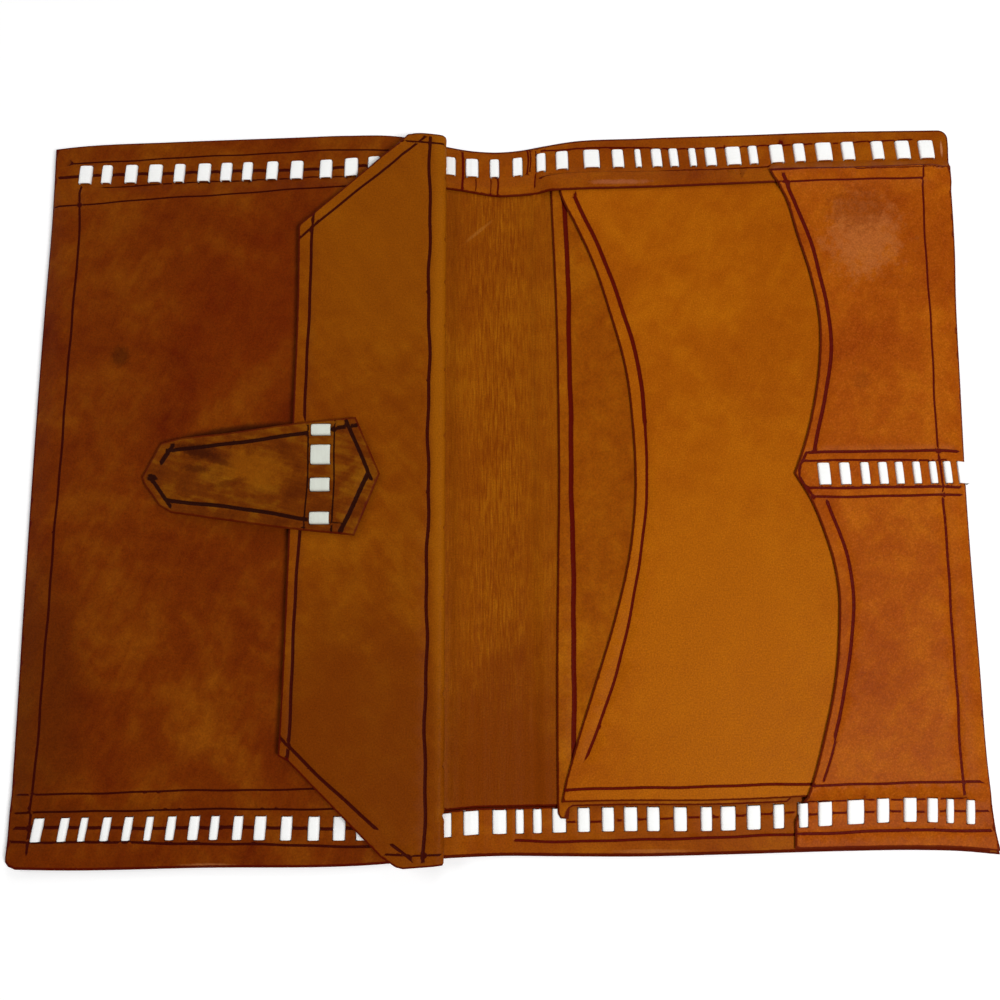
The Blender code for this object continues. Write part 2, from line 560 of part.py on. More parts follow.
def middle_row():
    """Start and end X of each stitch between the two card pockets; the last one runs out past the edge."""
    last_start = POCKET_RIGHT_X - MIDDLE_ROW_PITCH + MIDDLE_ROW_SPAN / 2
    first_x = CARD_PANEL_HORN_X + CARD_PANEL_POINT_RISE + MIDDLE_ROW_END_MARGIN
    row = []
    k = 1
    start = last_start - (MIDDLE_ROW_PITCH + MIDDLE_ROW_PITCH_GROWTH)
    while start >= first_x:
        row.insert(0, (start, start + MIDDLE_ROW_SPAN + k * MIDDLE_ROW_SPAN_GROWTH))
        k += 1
        start = last_start - k * (MIDDLE_ROW_PITCH + k * MIDDLE_ROW_PITCH_GROWTH)
    return row, last_start


def make_pockets():
    """The right wing's pockets: a straight one, a curved one over it and the scalloped card panel."""
    row, last_start = middle_row()
    row_holes = [slit(x, MIDDLE_ROW_Y - ROW_SLANT * x) for stitch in row for x in stitch]
    row_holes.append(slit(last_start, MIDDLE_ROW_Y - ROW_SLANT * last_start))
    x0, x1 = BACK_POCKET_X, PANEL_FOOT_X - BACK_POCKET_TO_PANEL_FOOT
    sheet("pocket_back", band(x0, x1, BACK_POCKET_BOTTOM_Y, INNER_TOP_Y), POCKET_THICKNESS,
          flat_at(INNER_Z), POCKET_LEATHER, RIGHT_WING)

    x = MIDDLE_POCKET_HORN_X
    low, high = climb(MIDDLE_POCKET_BOTTOM_Y, x), climb(INNER_TOP_Y, x)
    curve = arc_through((x, high), (x + MIDDLE_POCKET_BULGE, (low + high) / 2), (x, low),
                        POCKET_CURVE_FACETS)
    under_panel = climb(BOTTOM_DRAPE_Y + DRAPE_RUN + BUTT_GAP, POCKET_RIGHT_X)
    step_x = PANEL_FOOT_X + MIDDLE_POCKET_FOOT_CLEARANCE
    outline = curve + [(step_x, climb(MIDDLE_POCKET_BOTTOM_Y, step_x)), (step_x, under_panel),
                       (POCKET_RIGHT_X, under_panel), (POCKET_RIGHT_X, climb(INNER_TOP_Y, POCKET_RIGHT_X))]
    sheet("pocket_middle", outline, POCKET_THICKNESS, flat_at(MIDDLE_POCKET_Z), POCKET_LEATHER, RIGHT_WING,
          row_holes)

    horn_x, point_y = CARD_PANEL_HORN_X, MIDDLE_ROW_Y
    point_x = horn_x + CARD_PANEL_POINT_RISE
    top = climb(CARD_PANEL_TOP_Y, horn_x)
    foot = climb(BOTTOM_DRAPE_Y + DRAPE_RUN, horn_x)
    bottom = BOTTOM_Y + CARD_PANEL_EDGE_INSET
    upper = arc_through((horn_x, top), (horn_x + CARD_PANEL_BULGE, (top + point_y) / 2),
                        (point_x, point_y), PANEL_CURVE_FACETS)
    lower = arc_through((point_x, point_y), (horn_x + CARD_PANEL_BULGE, (foot + point_y) / 2),
                        (horn_x, foot), PANEL_CURVE_FACETS)
    outline = upper + lower[1:] + [(PANEL_FOOT_X, climb(BOTTOM_SLIT_END_Y, PANEL_FOOT_X)),
                                   (PANEL_FOOT_X, bottom), (POCKET_RIGHT_X, bottom),
                                   (POCKET_RIGHT_X, climb(CARD_PANEL_TOP_Y, POCKET_RIGHT_X))]
    rise_start = STRIP_INNER_TOP_Y - BUTT_GAP - DRAPE_RUN
    steps = [(BOTTOM_DRAPE_Y, CARD_PANEL_FOOT_Z), (BOTTOM_DRAPE_Y + DRAPE_RUN, CARD_PANEL_Z),
             (rise_start, CARD_PANEL_Z), (STRIP_INNER_TOP_Y - BUTT_GAP, CARD_PANEL_OVER_STRIP_Z)]
    holes = row_holes + slits_between(BOTTOM_ROW, BOTTOM_ROW_Y, PANEL_FOOT_X, RIGHT_X)
    sheet("card_pockets", outline, CARD_PANEL_THICKNESS, draped(steps), CARD_LEATHER, RIGHT_WING, holes,
          row_folds(steps, PANEL_FOOT_X, RIGHT_X))


def make_long_laces():
    """The two long laces, each cut where the cover creases."""
    spans = [("left", LEFT_WING, LEFT_X, LEFT_END_X, 0.0)]
    spans += [(name, pivot, x0, x1, SPINE_ROW_DROP) for pivot, name, x0, x1 in SPINE_SPANS]
    spans.append(("right", RIGHT_WING, RIGHT_START_X, RIGHT_X, 0.0))

    def over_bottom(x):
        return LACE_OVER_PANEL_Z if x > PANEL_FOOT_X else LACE_OVER_Z
    top = lace_route(TOP_ROW, lambda x: LACE_OVER_Z, LACE_UNDER_Z, LACE_TAIL, LACE_TAIL)
    bottom = lace_route(BOTTOM_ROW, over_bottom, LACE_UNDER_Z, LACE_TAIL, LACE_TAIL)
    for name, pivot, x0, x1, drop in spans:
        row_lace("lace_top_" + name, top, TOP_ROW_Y - drop, x0, x1, pivot)
        row_lace("lace_bottom_" + name, bottom, BOTTOM_ROW_Y, x0, x1, pivot)


def make_middle_lace():
    """The lace between the card pockets, wrapped round the pockets' right edge at its end."""
    row, last_start = middle_row()
    under = MIDDLE_POCKET_Z - SHEET_GAP - LACE_THICKNESS
    over = CARD_PANEL_Z + CARD_PANEL_THICKNESS + SHEET_GAP
    half = LACE_THICKNESS / 2
    route = lace_route(row, lambda x: over, under, LACE_TAIL, 0.0)[:-1]
    wrap_x = POCKET_RIGHT_X + SHEET_GAP + half
    route += [(last_start, under + half), (last_start, over + half), (wrap_x, over + half),
              (wrap_x, under + half), (last_start + 2 * SHEET_GAP + LACE_THICKNESS, under + half)]

    def across(x, z, side):
        return (x, MIDDLE_ROW_Y + side * LACE_WIDTH / 2, z)
    ribbon("lace_middle", route, across, WHITE_LACE, RIGHT_WING)


def flap_outline(inset, right_x):
    """The flap's outline: a long sheet with two slanted corners on its free side."""
    low, high = BOTTOM_Y + FLAP_BOTTOM_INSET + inset, TOP_Y - FLAP_TOP_INSET - inset
    left = FLAP_EDGE_X + inset
    length, height = FLAP_CHAMFER_LENGTH - inset / 2, FLAP_CHAMFER_HEIGHT - inset / 2
    return [(right_x, low), (right_x, high), (left + length, high), (left, high - height),
            (left, low + height), (left + length, low)]


def rolled(x, y, up):
    """Places the flap's leather: flat up to the fold, then round the roll and back under it."""
    if x <= FLAP_AXIS_X:
        return (x, y, FLAP_Z + up)
    middle_radius = FLAP_ROLL_RADIUS - FLAP_THICKNESS / 2
    angle = pi / 2 - (x - FLAP_AXIS_X) / middle_radius
    radius = FLAP_ROLL_RADIUS - FLAP_THICKNESS + up
    return (FLAP_AXIS_X + radius * cos(angle), y, FLAP_AXIS_Z + radius * sin(angle))


def tab_slit(y):
    """A slit of the tab's lace, along X."""
    x = FLAP_EDGE_X + TAB_LACE_TO_FLAP_EDGE
    half_x, half_y = SLIT_LENGTH / 2, SLIT_WIDTH / 2
    return [(x - half_x, y - half_y), (x + half_x, y - half_y), (x + half_x, y + half_y),
            (x - half_x, y + half_y)]


def tab_stitches():
    """Start and end Y of each of the tab's stitches, from the lowest up."""
    reach = TAB_ROOT_WIDTH / 2 - TAB_STITCH_EDGE_MARGIN
    pitch = 2 * reach / (len(TAB_STITCH_SPANS) - 1)
    row = []
    for k, span in enumerate(TAB_STITCH_SPANS):
        centre = TAB_CENTRE_Y - reach + k * pitch
        row.append((centre - span / 2, centre + span / 2))
    return row


def tab_base_outline(inset):
    """The pointed end of the tab that lies on the flap."""
    left = FLAP_EDGE_X + HALF_CREASE
    shoulder = FLAP_EDGE_X + TAB_LAP_ON_FLAP - inset
    point = shoulder + TAB_POINT_LENGTH
    root, wide = TAB_ROOT_WIDTH / 2 - inset, TAB_SHOULDER_WIDTH / 2 - inset
    y = TAB_CENTRE_Y
    return [(left, y - root), (shoulder, y - wide), (point, y), (shoulder, y + wide), (left, y + root)]


def tongue_outline(inset):
    """The free tongue of the tab, tapering to a blunt point."""
    right = FLAP_EDGE_X - HALF_CREASE
    tip = FLAP_EDGE_X - TONGUE_LENGTH + inset
    shoulder = tip + TONGUE_TIP_LENGTH
    root, narrow = TAB_ROOT_WIDTH / 2 - inset, TONGUE_TIP_WIDTH / 2 - inset
    blunt = TONGUE_TIP_FLAT / 2
    y = TAB_CENTRE_Y
    return [(right, y - root), (right, y + root), (shoulder, y + narrow), (tip, y + blunt),
            (tip, y - blunt), (shoulder, y - narrow)]


def tongue_place(z_at_root, z_at_tip):
    """Places the tongue on the slope from the flap down to the pocket front."""
    def place(x, y, up):
        share = (FLAP_EDGE_X - x) / TONGUE_LENGTH
        return (x, y, z_at_root + (z_at_tip - z_at_root) * share + up)
    return place


def make_flap_and_tab():
    """The flap that covers the pocket's mouth and the laced tab that closes it."""
    row = tab_stitches()
    slits = [tab_slit(y) for stitch in row for y in stitch]
    arc = pi * (FLAP_ROLL_RADIUS - FLAP_THICKNESS / 2)
    folds = []
    for i in range(ROLL_FACETS):
        x = FLAP_AXIS_X + arc * i / ROLL_FACETS
        folds.append(((x, BOTTOM_Y - FOLD_OVERRUN), (x, TOP_Y + FOLD_OVERRUN)))
    sheet("flap_leather", flap_outline(0.0, FLAP_AXIS_X + arc), FLAP_THICKNESS, rolled, FLAP_LEATHER, FLAP,
          slits, folds)
    sheet("flap_lining", flap_outline(FLAP_LINING_INSET, FLAP_AXIS_X - FLAP_LINING_TO_ROLL),
          LINING_THICKNESS, flat_at(FLAP_LINING_Z), LINING_LEATHER, FLAP, slits)
    sheet("tab_base", tab_base_outline(0.0), TAB_THICKNESS, flat_at(TAB_Z), FLAP_LEATHER, FLAP, slits)
    sheet("tab_base_lining", tab_base_outline(TAB_LINING_INSET), LINING_THICKNESS, flat_at(TAB_LINING_Z),
          LINING_LEATHER, FLAP, slits)
    tip_lining_z = FRONT_PANEL_TOP_Z + SHEET_GAP
    tip_z = tip_lining_z + LINING_THICKNESS + SHEET_GAP
    sheet("tab_tongue", tongue_outline(0.0), TAB_THICKNESS, tongue_place(TAB_Z, tip_z), FLAP_LEATHER, TAB)
    sheet("tab_tongue_lining", tongue_outline(TAB_LINING_INSET), LINING_THICKNESS,
          tongue_place(TAB_LINING_Z, tip_lining_z), LINING_LEATHER, TAB)
    x = FLAP_EDGE_X + TAB_LACE_TO_FLAP_EDGE
    half = LACE_WIDTH / 2
    route = lace_route(row, lambda y: TAB_LACE_OVER_Z, TAB_LACE_UNDER_Z, LACE_TAIL, LACE_TAIL)

    def across(y, z, side):
        return (x - side * half, y, z)
    ribbon("lace_tab", route, across, WHITE_LACE, FLAP)


make_covers()
make_inner_layers()
make_border_strips()
make_front_panel()
make_pockets()
make_long_laces()
make_middle_lace()
make_flap_and_tab()
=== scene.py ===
"""The looks of a tooled leather wallet that lies open, face up.

Sizes and places are in millimetres, and a mesh is scaled to metres when it is made. Heights and hinge axes
come from the frame. Each sheet is laid out flat, cut to its outline, grooved along its tool lines, and then
put in place by a function that gives the height of its underside.
"""

import json
from collections import namedtuple
from math import hypot, pi, radians

import bpy
import numpy as np
from mathutils.geometry import delaunay_2d_cdt
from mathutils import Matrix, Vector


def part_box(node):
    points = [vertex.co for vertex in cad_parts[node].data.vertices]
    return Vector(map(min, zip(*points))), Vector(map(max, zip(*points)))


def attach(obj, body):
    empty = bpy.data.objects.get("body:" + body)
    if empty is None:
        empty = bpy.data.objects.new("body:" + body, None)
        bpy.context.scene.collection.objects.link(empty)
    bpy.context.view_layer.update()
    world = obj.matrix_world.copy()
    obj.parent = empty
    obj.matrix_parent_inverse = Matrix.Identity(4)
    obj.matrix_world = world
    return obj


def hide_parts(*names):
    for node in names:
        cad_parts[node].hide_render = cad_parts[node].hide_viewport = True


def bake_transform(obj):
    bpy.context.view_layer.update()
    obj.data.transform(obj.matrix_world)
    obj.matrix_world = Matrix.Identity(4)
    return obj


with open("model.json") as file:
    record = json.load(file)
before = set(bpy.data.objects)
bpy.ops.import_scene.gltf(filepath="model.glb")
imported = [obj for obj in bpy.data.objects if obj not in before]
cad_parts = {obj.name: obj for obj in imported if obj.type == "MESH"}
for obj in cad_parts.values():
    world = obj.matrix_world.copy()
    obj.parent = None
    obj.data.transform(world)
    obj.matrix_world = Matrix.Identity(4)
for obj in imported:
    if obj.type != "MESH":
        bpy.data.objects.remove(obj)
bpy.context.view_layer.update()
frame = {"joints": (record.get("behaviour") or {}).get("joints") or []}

MM = 0.001

# Fineness of the meshes
EDGE_STEP = 1.6
LINE_STEP = 1.4
GRID_STEP = 4.2
TAB_GRID = 2.4
WRINKLE_GRID = (0.9, 3.2)
ROLL_GRID = (0.55, 3.0)
SIDE_POINTS = 90
MERGE_DISTANCE = 1e-4
SMOOTH_ANGLE = 38.0
NO_POINTS = np.zeros((0, 2))

# Cut edges of the leather
EDGE_ROUND = 0.42
EDGE_DROP = 0.30
LOWER_EDGE_RISE = 0.12
RIM_WIDTH = 0.85
SLIT_WIDTH = 0.85
SLIT_LENGTH = 7.3

# Lace
LACE_WIDTH = 6.9
LACE_THICKNESS = 0.5
LACE_BEND = 0.55
LACE_TAIL = 3.0
STITCH_CROWN = 0.12
TAB_LACE_SPREAD = 0.88

# Each piece takes its own place in the leather's pattern, this far from the next
PATTERN_GAP = 40.0


def underside(node):
    """Lowest point of a node of the frame."""
    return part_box(node)[0].z / MM


def topside(node):
    """Highest point of a node of the frame."""
    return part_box(node)[1].z / MM


JOINT = {joint["name"]: [c / MM for c in joint["pos_m"]] for joint in frame["joints"]}
CREASE_LEFT, CREASE_MIDDLE, CREASE_RIGHT = (
    JOINT["crease_" + side][0] for side in ("left", "middle", "right"))
FLAP_AXIS_X, FLAP_AXIS_Z = JOINT["flap_fold"][0], JOINT["flap_fold"][2]
FLAP_EDGE_X = JOINT["tab_flex"][0]
TAB_Y = JOINT["tab_flex"][1]

# Heights of the layers' undersides, and their thicknesses
COVER_Z = underside("cover_left")
COVER_THICK = topside("cover_left") - COVER_Z
BORDER_Z = underside("border_strip_top_left")
STRIP_THICK = topside("border_strip_top_left") - BORDER_Z
BOARD_Z = underside("stiffener_left")
BOARD_THICK = topside("stiffener_left") - BOARD_Z
LINING_Z = underside("lining_left")
SPINE_LINING_Z = underside("lining_spine_left")
LINING_THICK = topside("lining_left") - LINING_Z
SPINE_STRIP_Z = topside("border_strip_top_spine_left") - STRIP_THICK
BACK_POCKET_Z = underside("pocket_back")
POCKET_THICK = topside("pocket_back") - BACK_POCKET_Z
FRONT_THICK = topside("pocket_front_left") - BACK_POCKET_Z
MIDDLE_POCKET_Z = underside("pocket_middle")
PANEL_Z = topside("border_strip_top_right") - STRIP_THICK
PANEL_FOOT_Z = underside("card_pockets")
PANEL_THICK = 0.7
PANEL_OVER_STRIP_Z = topside("card_pockets") - PANEL_THICK
FLAP_THICK = 0.8
FLAP_Z = topside("flap_leather") - FLAP_THICK
FLAP_LINING_Z = underside("flap_lining")
TAB_Z = underside("tab_base")
TAB_THICK = topside("tab_base") - TAB_Z
TAB_LINING_Z = underside("tab_base_lining")
TIP_Z = underside("tab_tongue")
TIP_LINING_Z = underside("tab_tongue_lining")
LACE_UNDER_Z = underside("lace_top_left")
LACE_OVER_Z = topside("lace_top_left") - LACE_THICKNESS
LACE_OVER_PANEL_Z = topside("lace_bottom_right") - LACE_THICKNESS
MIDDLE_LACE_UNDER_Z = underside("lace_middle")
MIDDLE_LACE_OVER_Z = topside("lace_middle") - LACE_THICKNESS
TAB_LACE_UNDER_Z = underside("lace_tab")
TAB_LACE_OVER_Z = topside("lace_tab") - LACE_THICKNESS

# Beyond this distance from the middle no stitch is the tab's
TAB_REACH = 50.0

# Where the long pieces are cut, so that each part bends at one crease only
CUT_LEFT = -5.0
CUT_RIGHT = 3.7
OUTER_BEND = 5.0
MIDDLE_BEND = 4.0
TAB_BEND = (3.0, -5.0)
WRINKLED_TO = 24.0

# Ends of the sheets along x
LEFT_END = -151.0
RIGHT_END = 151.0
MOUTH_X = -20.3
PANEL_FOOT_X = 88.0
BACK_POCKET_END = 91.0
MIDDLE_POCKET_END = 94.0
BOTTOM_STRIP_END = 146.2
LINING_ENDS = (-144.5, 144.0)
TAB_LEFT_END = -112.6
TAB_RIGHT_END = -36.6
BUTT_GAP = 0.3

# Corners at the wallet's left and right edges
CORNER_CUT = 3.4
LEFT_CORNER_X = -148.0
RIGHT_CORNER_X = 146.5
POCKET_CORNER_X = 148.0
POCKET_RIGHT = 0.4
MIDDLE_POCKET_INSET = 0.8
RIGHT_DROP = (143.6, 148.6)

# The photograph's viewpoint in millimetres and degrees
CAMERA_PLACE = (5.76, -66.68, 346.15)
CAMERA_TILT = (9.839, 0.910, -0.514)
CAMERA_LENS = 39.6
CAMERA_SENSOR = 36.0

# The studio, in metres
WHITE = (1.0, 1.0, 1.0, 1.0)
FLOOR_COLOUR = (0.99, 0.99, 0.99, 1.0)
FLOOR_REACH = 3.0
FLOOR_DROP = 0.0001
WORLD_LIGHT = 0.12
FLOOR_GLOW = 0.15
# Distances from the middle over which the lamps' light on the floor fades
LIT_REACH = (0.25, 0.95)


def ease(start, end, value):
    """0 up to start, 1 from end on, and smooth between them."""
    t = np.clip((value - start) / (end - start), 0.0, 1.0)
    return t * t * (3 - 2 * t)


def through(points):
    """A smooth curve y(x) through points with rising x."""
    xs, ys = np.array(points, float).T
    slopes = np.gradient(ys, xs)

    def value(x):
        x = np.clip(x, xs[0], xs[-1])
        i = np.clip(np.searchsorted(xs, x) - 1, 0, len(xs) - 2)
        step = xs[i + 1] - xs[i]
        t = (x - xs[i]) / step
        level = ys[i] * (1 + 2 * t) * (1 - t) ** 2 + ys[i + 1] * t * t * (3 - 2 * t)
        return level + step * (slopes[i] * t * (1 - t) ** 2 + slopes[i + 1] * t * t * (t - 1))
    return value


def path(points, step):
    """Evenly spaced points on a smooth path through a few points."""
    points = np.array(points, float)
    runs = np.hypot(*np.diff(points, axis=0).T)
    along = np.concatenate(([0.0], np.cumsum(runs)))
    places = np.linspace(0.0, along[-1], max(2, round(along[-1] / step) + 1))
    return np.column_stack([through(np.column_stack((along, points[:, i])))(places) for i in (0, 1)])


def straight(*points, step=EDGE_STEP):
    """Evenly spaced points on straight runs between a few points."""
    runs = [path(pair, step)[:-1] for pair in zip(points, points[1:])]
    return np.vstack(runs + [np.array(points[-1:], float)])


def joined(*stretches):
    """One closed outline from stretches that meet end to end."""
    points = np.vstack(stretches)
    gaps = np.hypot(*(points - np.roll(points, 1, axis=0)).T)
    points = points[gaps > 0.05]
    area = np.sum(points[:, 0] * np.roll(points[:, 1], -1) - points[:, 1] * np.roll(points[:, 0], -1))
    return points if area > 0 else points[::-1]


def edge_run(curve, x0, x1):
    """Points along an edge y(x) from one x to another."""
    xs = np.linspace(x0, x1, max(2, round(abs(x1 - x0) / EDGE_STEP) + 1))
    return np.column_stack((xs, curve(xs)))


def side_run(x, y0, y1):
    """Points along a cut across the wallet, with two close to each end for the rounded edge."""
    sign = 1 if y1 > y0 else -1
    inner = straight((x, y0 + sign * RIM_WIDTH), (x, y1 - sign * RIM_WIDTH), step=3.0)
    return np.vstack(([(x, y0), (x, y0 + sign * EDGE_ROUND)], inner, [(x, y1 - sign * EDGE_ROUND), (x, y1)]))


# The wallet's outline, as it lies in the photograph
TOP_EDGE = through([(-150, 114.9), (-143, 115.7), (-109, 117.2), (-66, 118.3), (-50, 118.6), (-31, 117.9),
                    (-16, 114.2), (-8, 112.6), (1.2, 111.9), (8.6, 112.4), (17, 113.9), (25, 115.2),
                    (49, 116.1), (89, 116.6), (110, 117.0), (150, 117.2)])
BOTTOM_EDGE = through([(-150, -118.6), (-133, -119.0), (-90, -118.5), (-39, -118.0), (-15, -116.2),
                       (0, -115.7), (18, -115.9), (40, -116.1), (70, -115.6), (104, -114.9), (125, -114.8),
                       (138, -115.2), (150, -116.3)])
LEFT_EDGE = through([(-119, -150.4), (-110, -149.8), (-100, -149.6), (-97, -149.4), (-92, -149.4),
                     (-74, -149.4), (-37, -149.5), (28, -149.2), (62, -148.7), (91, -148.1), (116, -148.3)])
RIGHT_EDGE = through([(-117, 149.7), (-111, 148.5), (-104, 147.9), (-98, 147.6), (-92, 147.3), (-59, 147.3),
                      (-6, 147.5), (29, 148.6), (59, 149.6), (72, 150.4), (85, 150.8), (98, 151),
                      (107, 151.3), (112, 151.5), (117, 151.3)])

# The middle lines of the rows of lace
TOP_ROW = through([(-150, 105.0), (-137, 105.1), (-105, 105.3), (-75, 105.8), (-56, 106.1), (-40, 107.0),
                   (-32, 107.2), (-14, 106.3), (-7.5, 105.6), (0, 105.3), (7.7, 105.7), (15.6, 107.2),
                   (22.6, 107.9), (48, 108.2), (72, 108.2), (110, 109.2), (150, 109.6)])
BOTTOM_ROW = through([(-150, -107.1), (-113, -106.8), (-86, -106.7), (-50, -107.1), (-30, -107),
                      (-16, -106.4), (-9, -105.8), (6, -105.5), (39, -105), (62, -105.1), (84, -104.5),
                      (107, -103.3), (123, -102.8), (141, -103.6), (150, -104)])
MIDDLE_ROW_Y = -0.5


def middle_row(x):
    """The short row between the card pockets is level."""
    return np.full(np.shape(x), MIDDLE_ROW_Y)


# Stitches as (middle, width along the row), read one by one
TOP_STITCHES = [(-137.2, 4.7), (-130.1, 3.8), (-121.9, 4.4), (-113.8, 4.9), (-105.7, 3.9), (-97.4, 4.6),
                (-90.0, 4.1), (-82.9, 3.7), (-74.6, 4.2), (-66.3, 4.5), (-56.5, 4.3), (-48.0, 4.5),
                (-40.3, 4.1), (-33.6, 4.0), (-27.0, 4.0), (-20.6, 3.8), (-14.95, 3.8), (-7.5, 4.1),
                (0.0, 3.0), (7.7, 3.2), (15.6, 3.0), (22.6, 4.1), (32.5, 5.5), (41.3, 4.2), (48.0, 2.5),
                (54.2, 3.9), (59.9, 3.5), (66.2, 2.9), (72.2, 4.2), (79.7, 5.4), (86.3, 3.5), (94.1, 5.0),
                (101.6, 4.2), (109.8, 5.8), (117.8, 4.7), (127.6, 4.5), (136.0, 5.2), (143.8, 5.5)]
BOTTOM_STITCHES = [(-140.4, 4.1), (-132.5, 3.6), (-126.5, 3.1), (-119.6, 3.4), (-113.0, 3.4), (-106.5, 2.9),
                   (-99.8, 3.3), (-92.8, 3.7), (-86.5, 3.1), (-79.4, 3.3), (-72.6, 3.8), (-64.6, 3.6),
                   (-56.3, 3.6), (-48.6, 3.7), (-41.6, 3.7), (-34.9, 3.6), (-28.4, 3.6), (-22.6, 3.2),
                   (-16.4, 3.2), (-8.8, 4.5), (-0.2, 4.1), (5.9, 2.3), (11.2, 2.5), (17.8, 4.0), (25.2, 3.5),
                   (32.5, 3.5), (39.3, 3.9), (46.1, 3.7), (54.2, 3.9), (62.0, 3.4), (68.5, 4.5), (76.2, 4.2),
                   (83.7, 3.4), (90.9, 3.0), (97.4, 4.4), (106.6, 5.3), (114.8, 4.0), (122.9, 4.2),
                   (129.6, 3.5), (134.8, 2.5), (140.9, 2.9)]
MIDDLE_STITCHES = [(102.7, 4.0), (109.2, 3.5), (115.5, 2.9), (121.1, 3.0), (126.2, 2.7), (131.6, 2.6),
                   (136.7, 2.5), (141.2, 2.6)]
MIDDLE_LAST_START = 144.7
TAB_STITCHES = [(-13.8, 3.8), (-3.2, 4.2), (6.4, 6.2), (14.4, 3.6)]
TAB_LACE_X = -55.3

TOP_LACING = (TOP_STITCHES, TOP_ROW)
BOTTOM_LACING = (BOTTOM_STITCHES, BOTTOM_ROW)
MIDDLE_LACING = (MIDDLE_STITCHES, middle_row)


def lean(x, row_y):
    """How far the top end of a stitch lies to the right of its bottom end."""
    if row_y > TAB_REACH:
        return 0.5 * ease(-30, -80, x) - 0.65 * ease(10, 60, x)
    if row_y < -TAB_REACH:
        return 1.15 * ease(-20, -140, x) + 0.55 * ease(20, 140, x)
    return -0.4 if x > TAB_REACH else 0.0


def spread(row_y):
    """The lace is pulled a little narrower in the upper row."""
    return 0.9 if row_y > TAB_REACH else 1.0


def half_span(centre, width, row_y):
    """Half the distance between the two slits of a stitch."""
    return (width - abs(lean(centre, row_y)) - LACE_THICKNESS) / 2


def slits_at(stitches, row, x0, x1):
    """The slits of a row whose middles lie between two x places, as small outlines."""
    found = []
    for centre, width in stitches:
        row_y = row(centre)
        reach = half_span(centre, width, row_y)
        found += [slit_outline(x, row_y) for x in (centre - reach, centre + reach) if x0 < x < x1]
    return found


def slit_outline(x, row_y):
    """One slit across a row, leaning as its stitch does."""
    slant = lean(x, row_y)
    half_w, half_l = SLIT_WIDTH / 2, SLIT_LENGTH * spread(row_y) / 2
    rise = np.linspace(-half_l, half_l, 9)
    corners = [(half_w, v) for v in rise] + [(-half_w, v) for v in rise[::-1]]
    return np.array([(x + u + slant * v / SLIT_LENGTH, row_y + v) for u, v in corners])


def bulge_of(stitches, row, height):
    """The small rise of the leather bars between the stitches, as a function of place."""
    ends = [(c - w / 2, c + w / 2) for c, w in stitches]
    xs, hs = [], []
    for (_, a), (b, _) in zip(ends, ends[1:]):
        xs += [a + (b - a) * t for t in (0.0, 0.25, 0.5, 0.75, 1.0)]
        hs += [0.0, 0.7 * height, height, 0.7 * height, 0.0]

    def value(x, y):
        return np.interp(x, xs, hs) * ease(5.4, 2.2, np.abs(y - row(x)))
    return value


TOP_BULGE = bulge_of(*TOP_LACING, 0.34)
BOTTOM_BULGE = bulge_of(*BOTTOM_LACING, 0.34)
MIDDLE_BULGE = bulge_of(*MIDDLE_LACING, 0.22)
# Deep wrinkles of the spine: x, width and depth
DEEP_WRINKLES = ((-12.6, 0.7, 1.0), (7.4, 0.8, 0.8), (-8.3, 0.5, 0.6))


def swell(x, y):
    """How far all the layers rise off the table: broad waves that die out at the spine."""
    away = 0.5 * ease(9, 62, np.abs(x - CREASE_MIDDLE))
    broad = 0.5 + 0.5 * np.sin(x / 27 + 0.7 * np.sin(y / 41)) * np.cos(y / 49 + x / 83)
    rim = ease(72, 114, np.abs(y)) * (0.5 + 0.5 * np.sin(x / 19 + 0.02 * y))
    return away * (0.75 * broad + 0.55 * rim) + TOP_BULGE(x, y) + BOTTOM_BULGE(x, y)


def wrinkle(x, y):
    """Fine folds that run down the soft spine, shared by every layer above the cover."""
    near = ease(24, 13, np.abs(x + 2.0))
    drift = x + 0.9 * np.sin(y / 31) + 0.5 * np.sin(y / 13 + 1)
    fine = 0.5 + 0.5 * np.sin(drift * 2.3) * np.sin(drift * 0.9 + y / 60 + 1.0)
    deep = sum(depth * np.exp(-((drift - place) / width) ** 2) for place, width, depth in DEEP_WRINKLES)
    return near * np.clip(0.05 + 0.16 * fine - 0.17 * deep * ease(40, 100, np.abs(y)), 0.0, 0.3)


def rows_from(x, y):
    """Distances outward from the middles of the top and bottom rows: above 0 beyond a row's middle."""
    return y - TOP_ROW(x), BOTTOM_ROW(x) - y


def lumps(x, y, size, height):
    """Small soft unevenness of one sheet, from nothing up to a height."""
    a = np.sin(x / size + 1.3 * np.sin(y / (size * 1.7)))
    b = np.sin(y / (size * 0.9) + 1.1 * np.sin(x / (size * 1.4)) + 0.8)
    return height * (0.5 + 0.25 * (a + b))


# Where a sheet drops from the inner layers to the border, counted from the row's middle
DROP_FROM = -6.6
DROP_TO = -4.1
PANEL_DROP_FROM = -5.3
PANEL_DROP_TO = -3.7
INNER_LIMIT = -6.9


def flat_at(z, wrinkled=False):
    """The height of a sheet's underside where it lies on one level."""
    def height(x, y):
        level = z + swell(x, y)
        return level + wrinkle(x, y) if wrinkled else level
    return height


def front_height(x, y):
    """The left pocket front lies on the lining and drops to the border at both rows."""
    top, bottom = rows_from(x, y)
    inner = ease(DROP_TO, DROP_FROM, np.maximum(top, bottom)) * ease(-148.2, -145.0, x)
    return BORDER_Z + (BACK_POCKET_Z - BORDER_Z) * inner + swell(x, y) + lumps(x, y, 11.0, 0.12) * inner


def right_drop(x):
    """How far the pockets' layers drop toward the border at the right edge."""
    return (MIDDLE_POCKET_Z - BORDER_Z - LACE_THICKNESS - 0.15) * ease(*RIGHT_DROP, x)


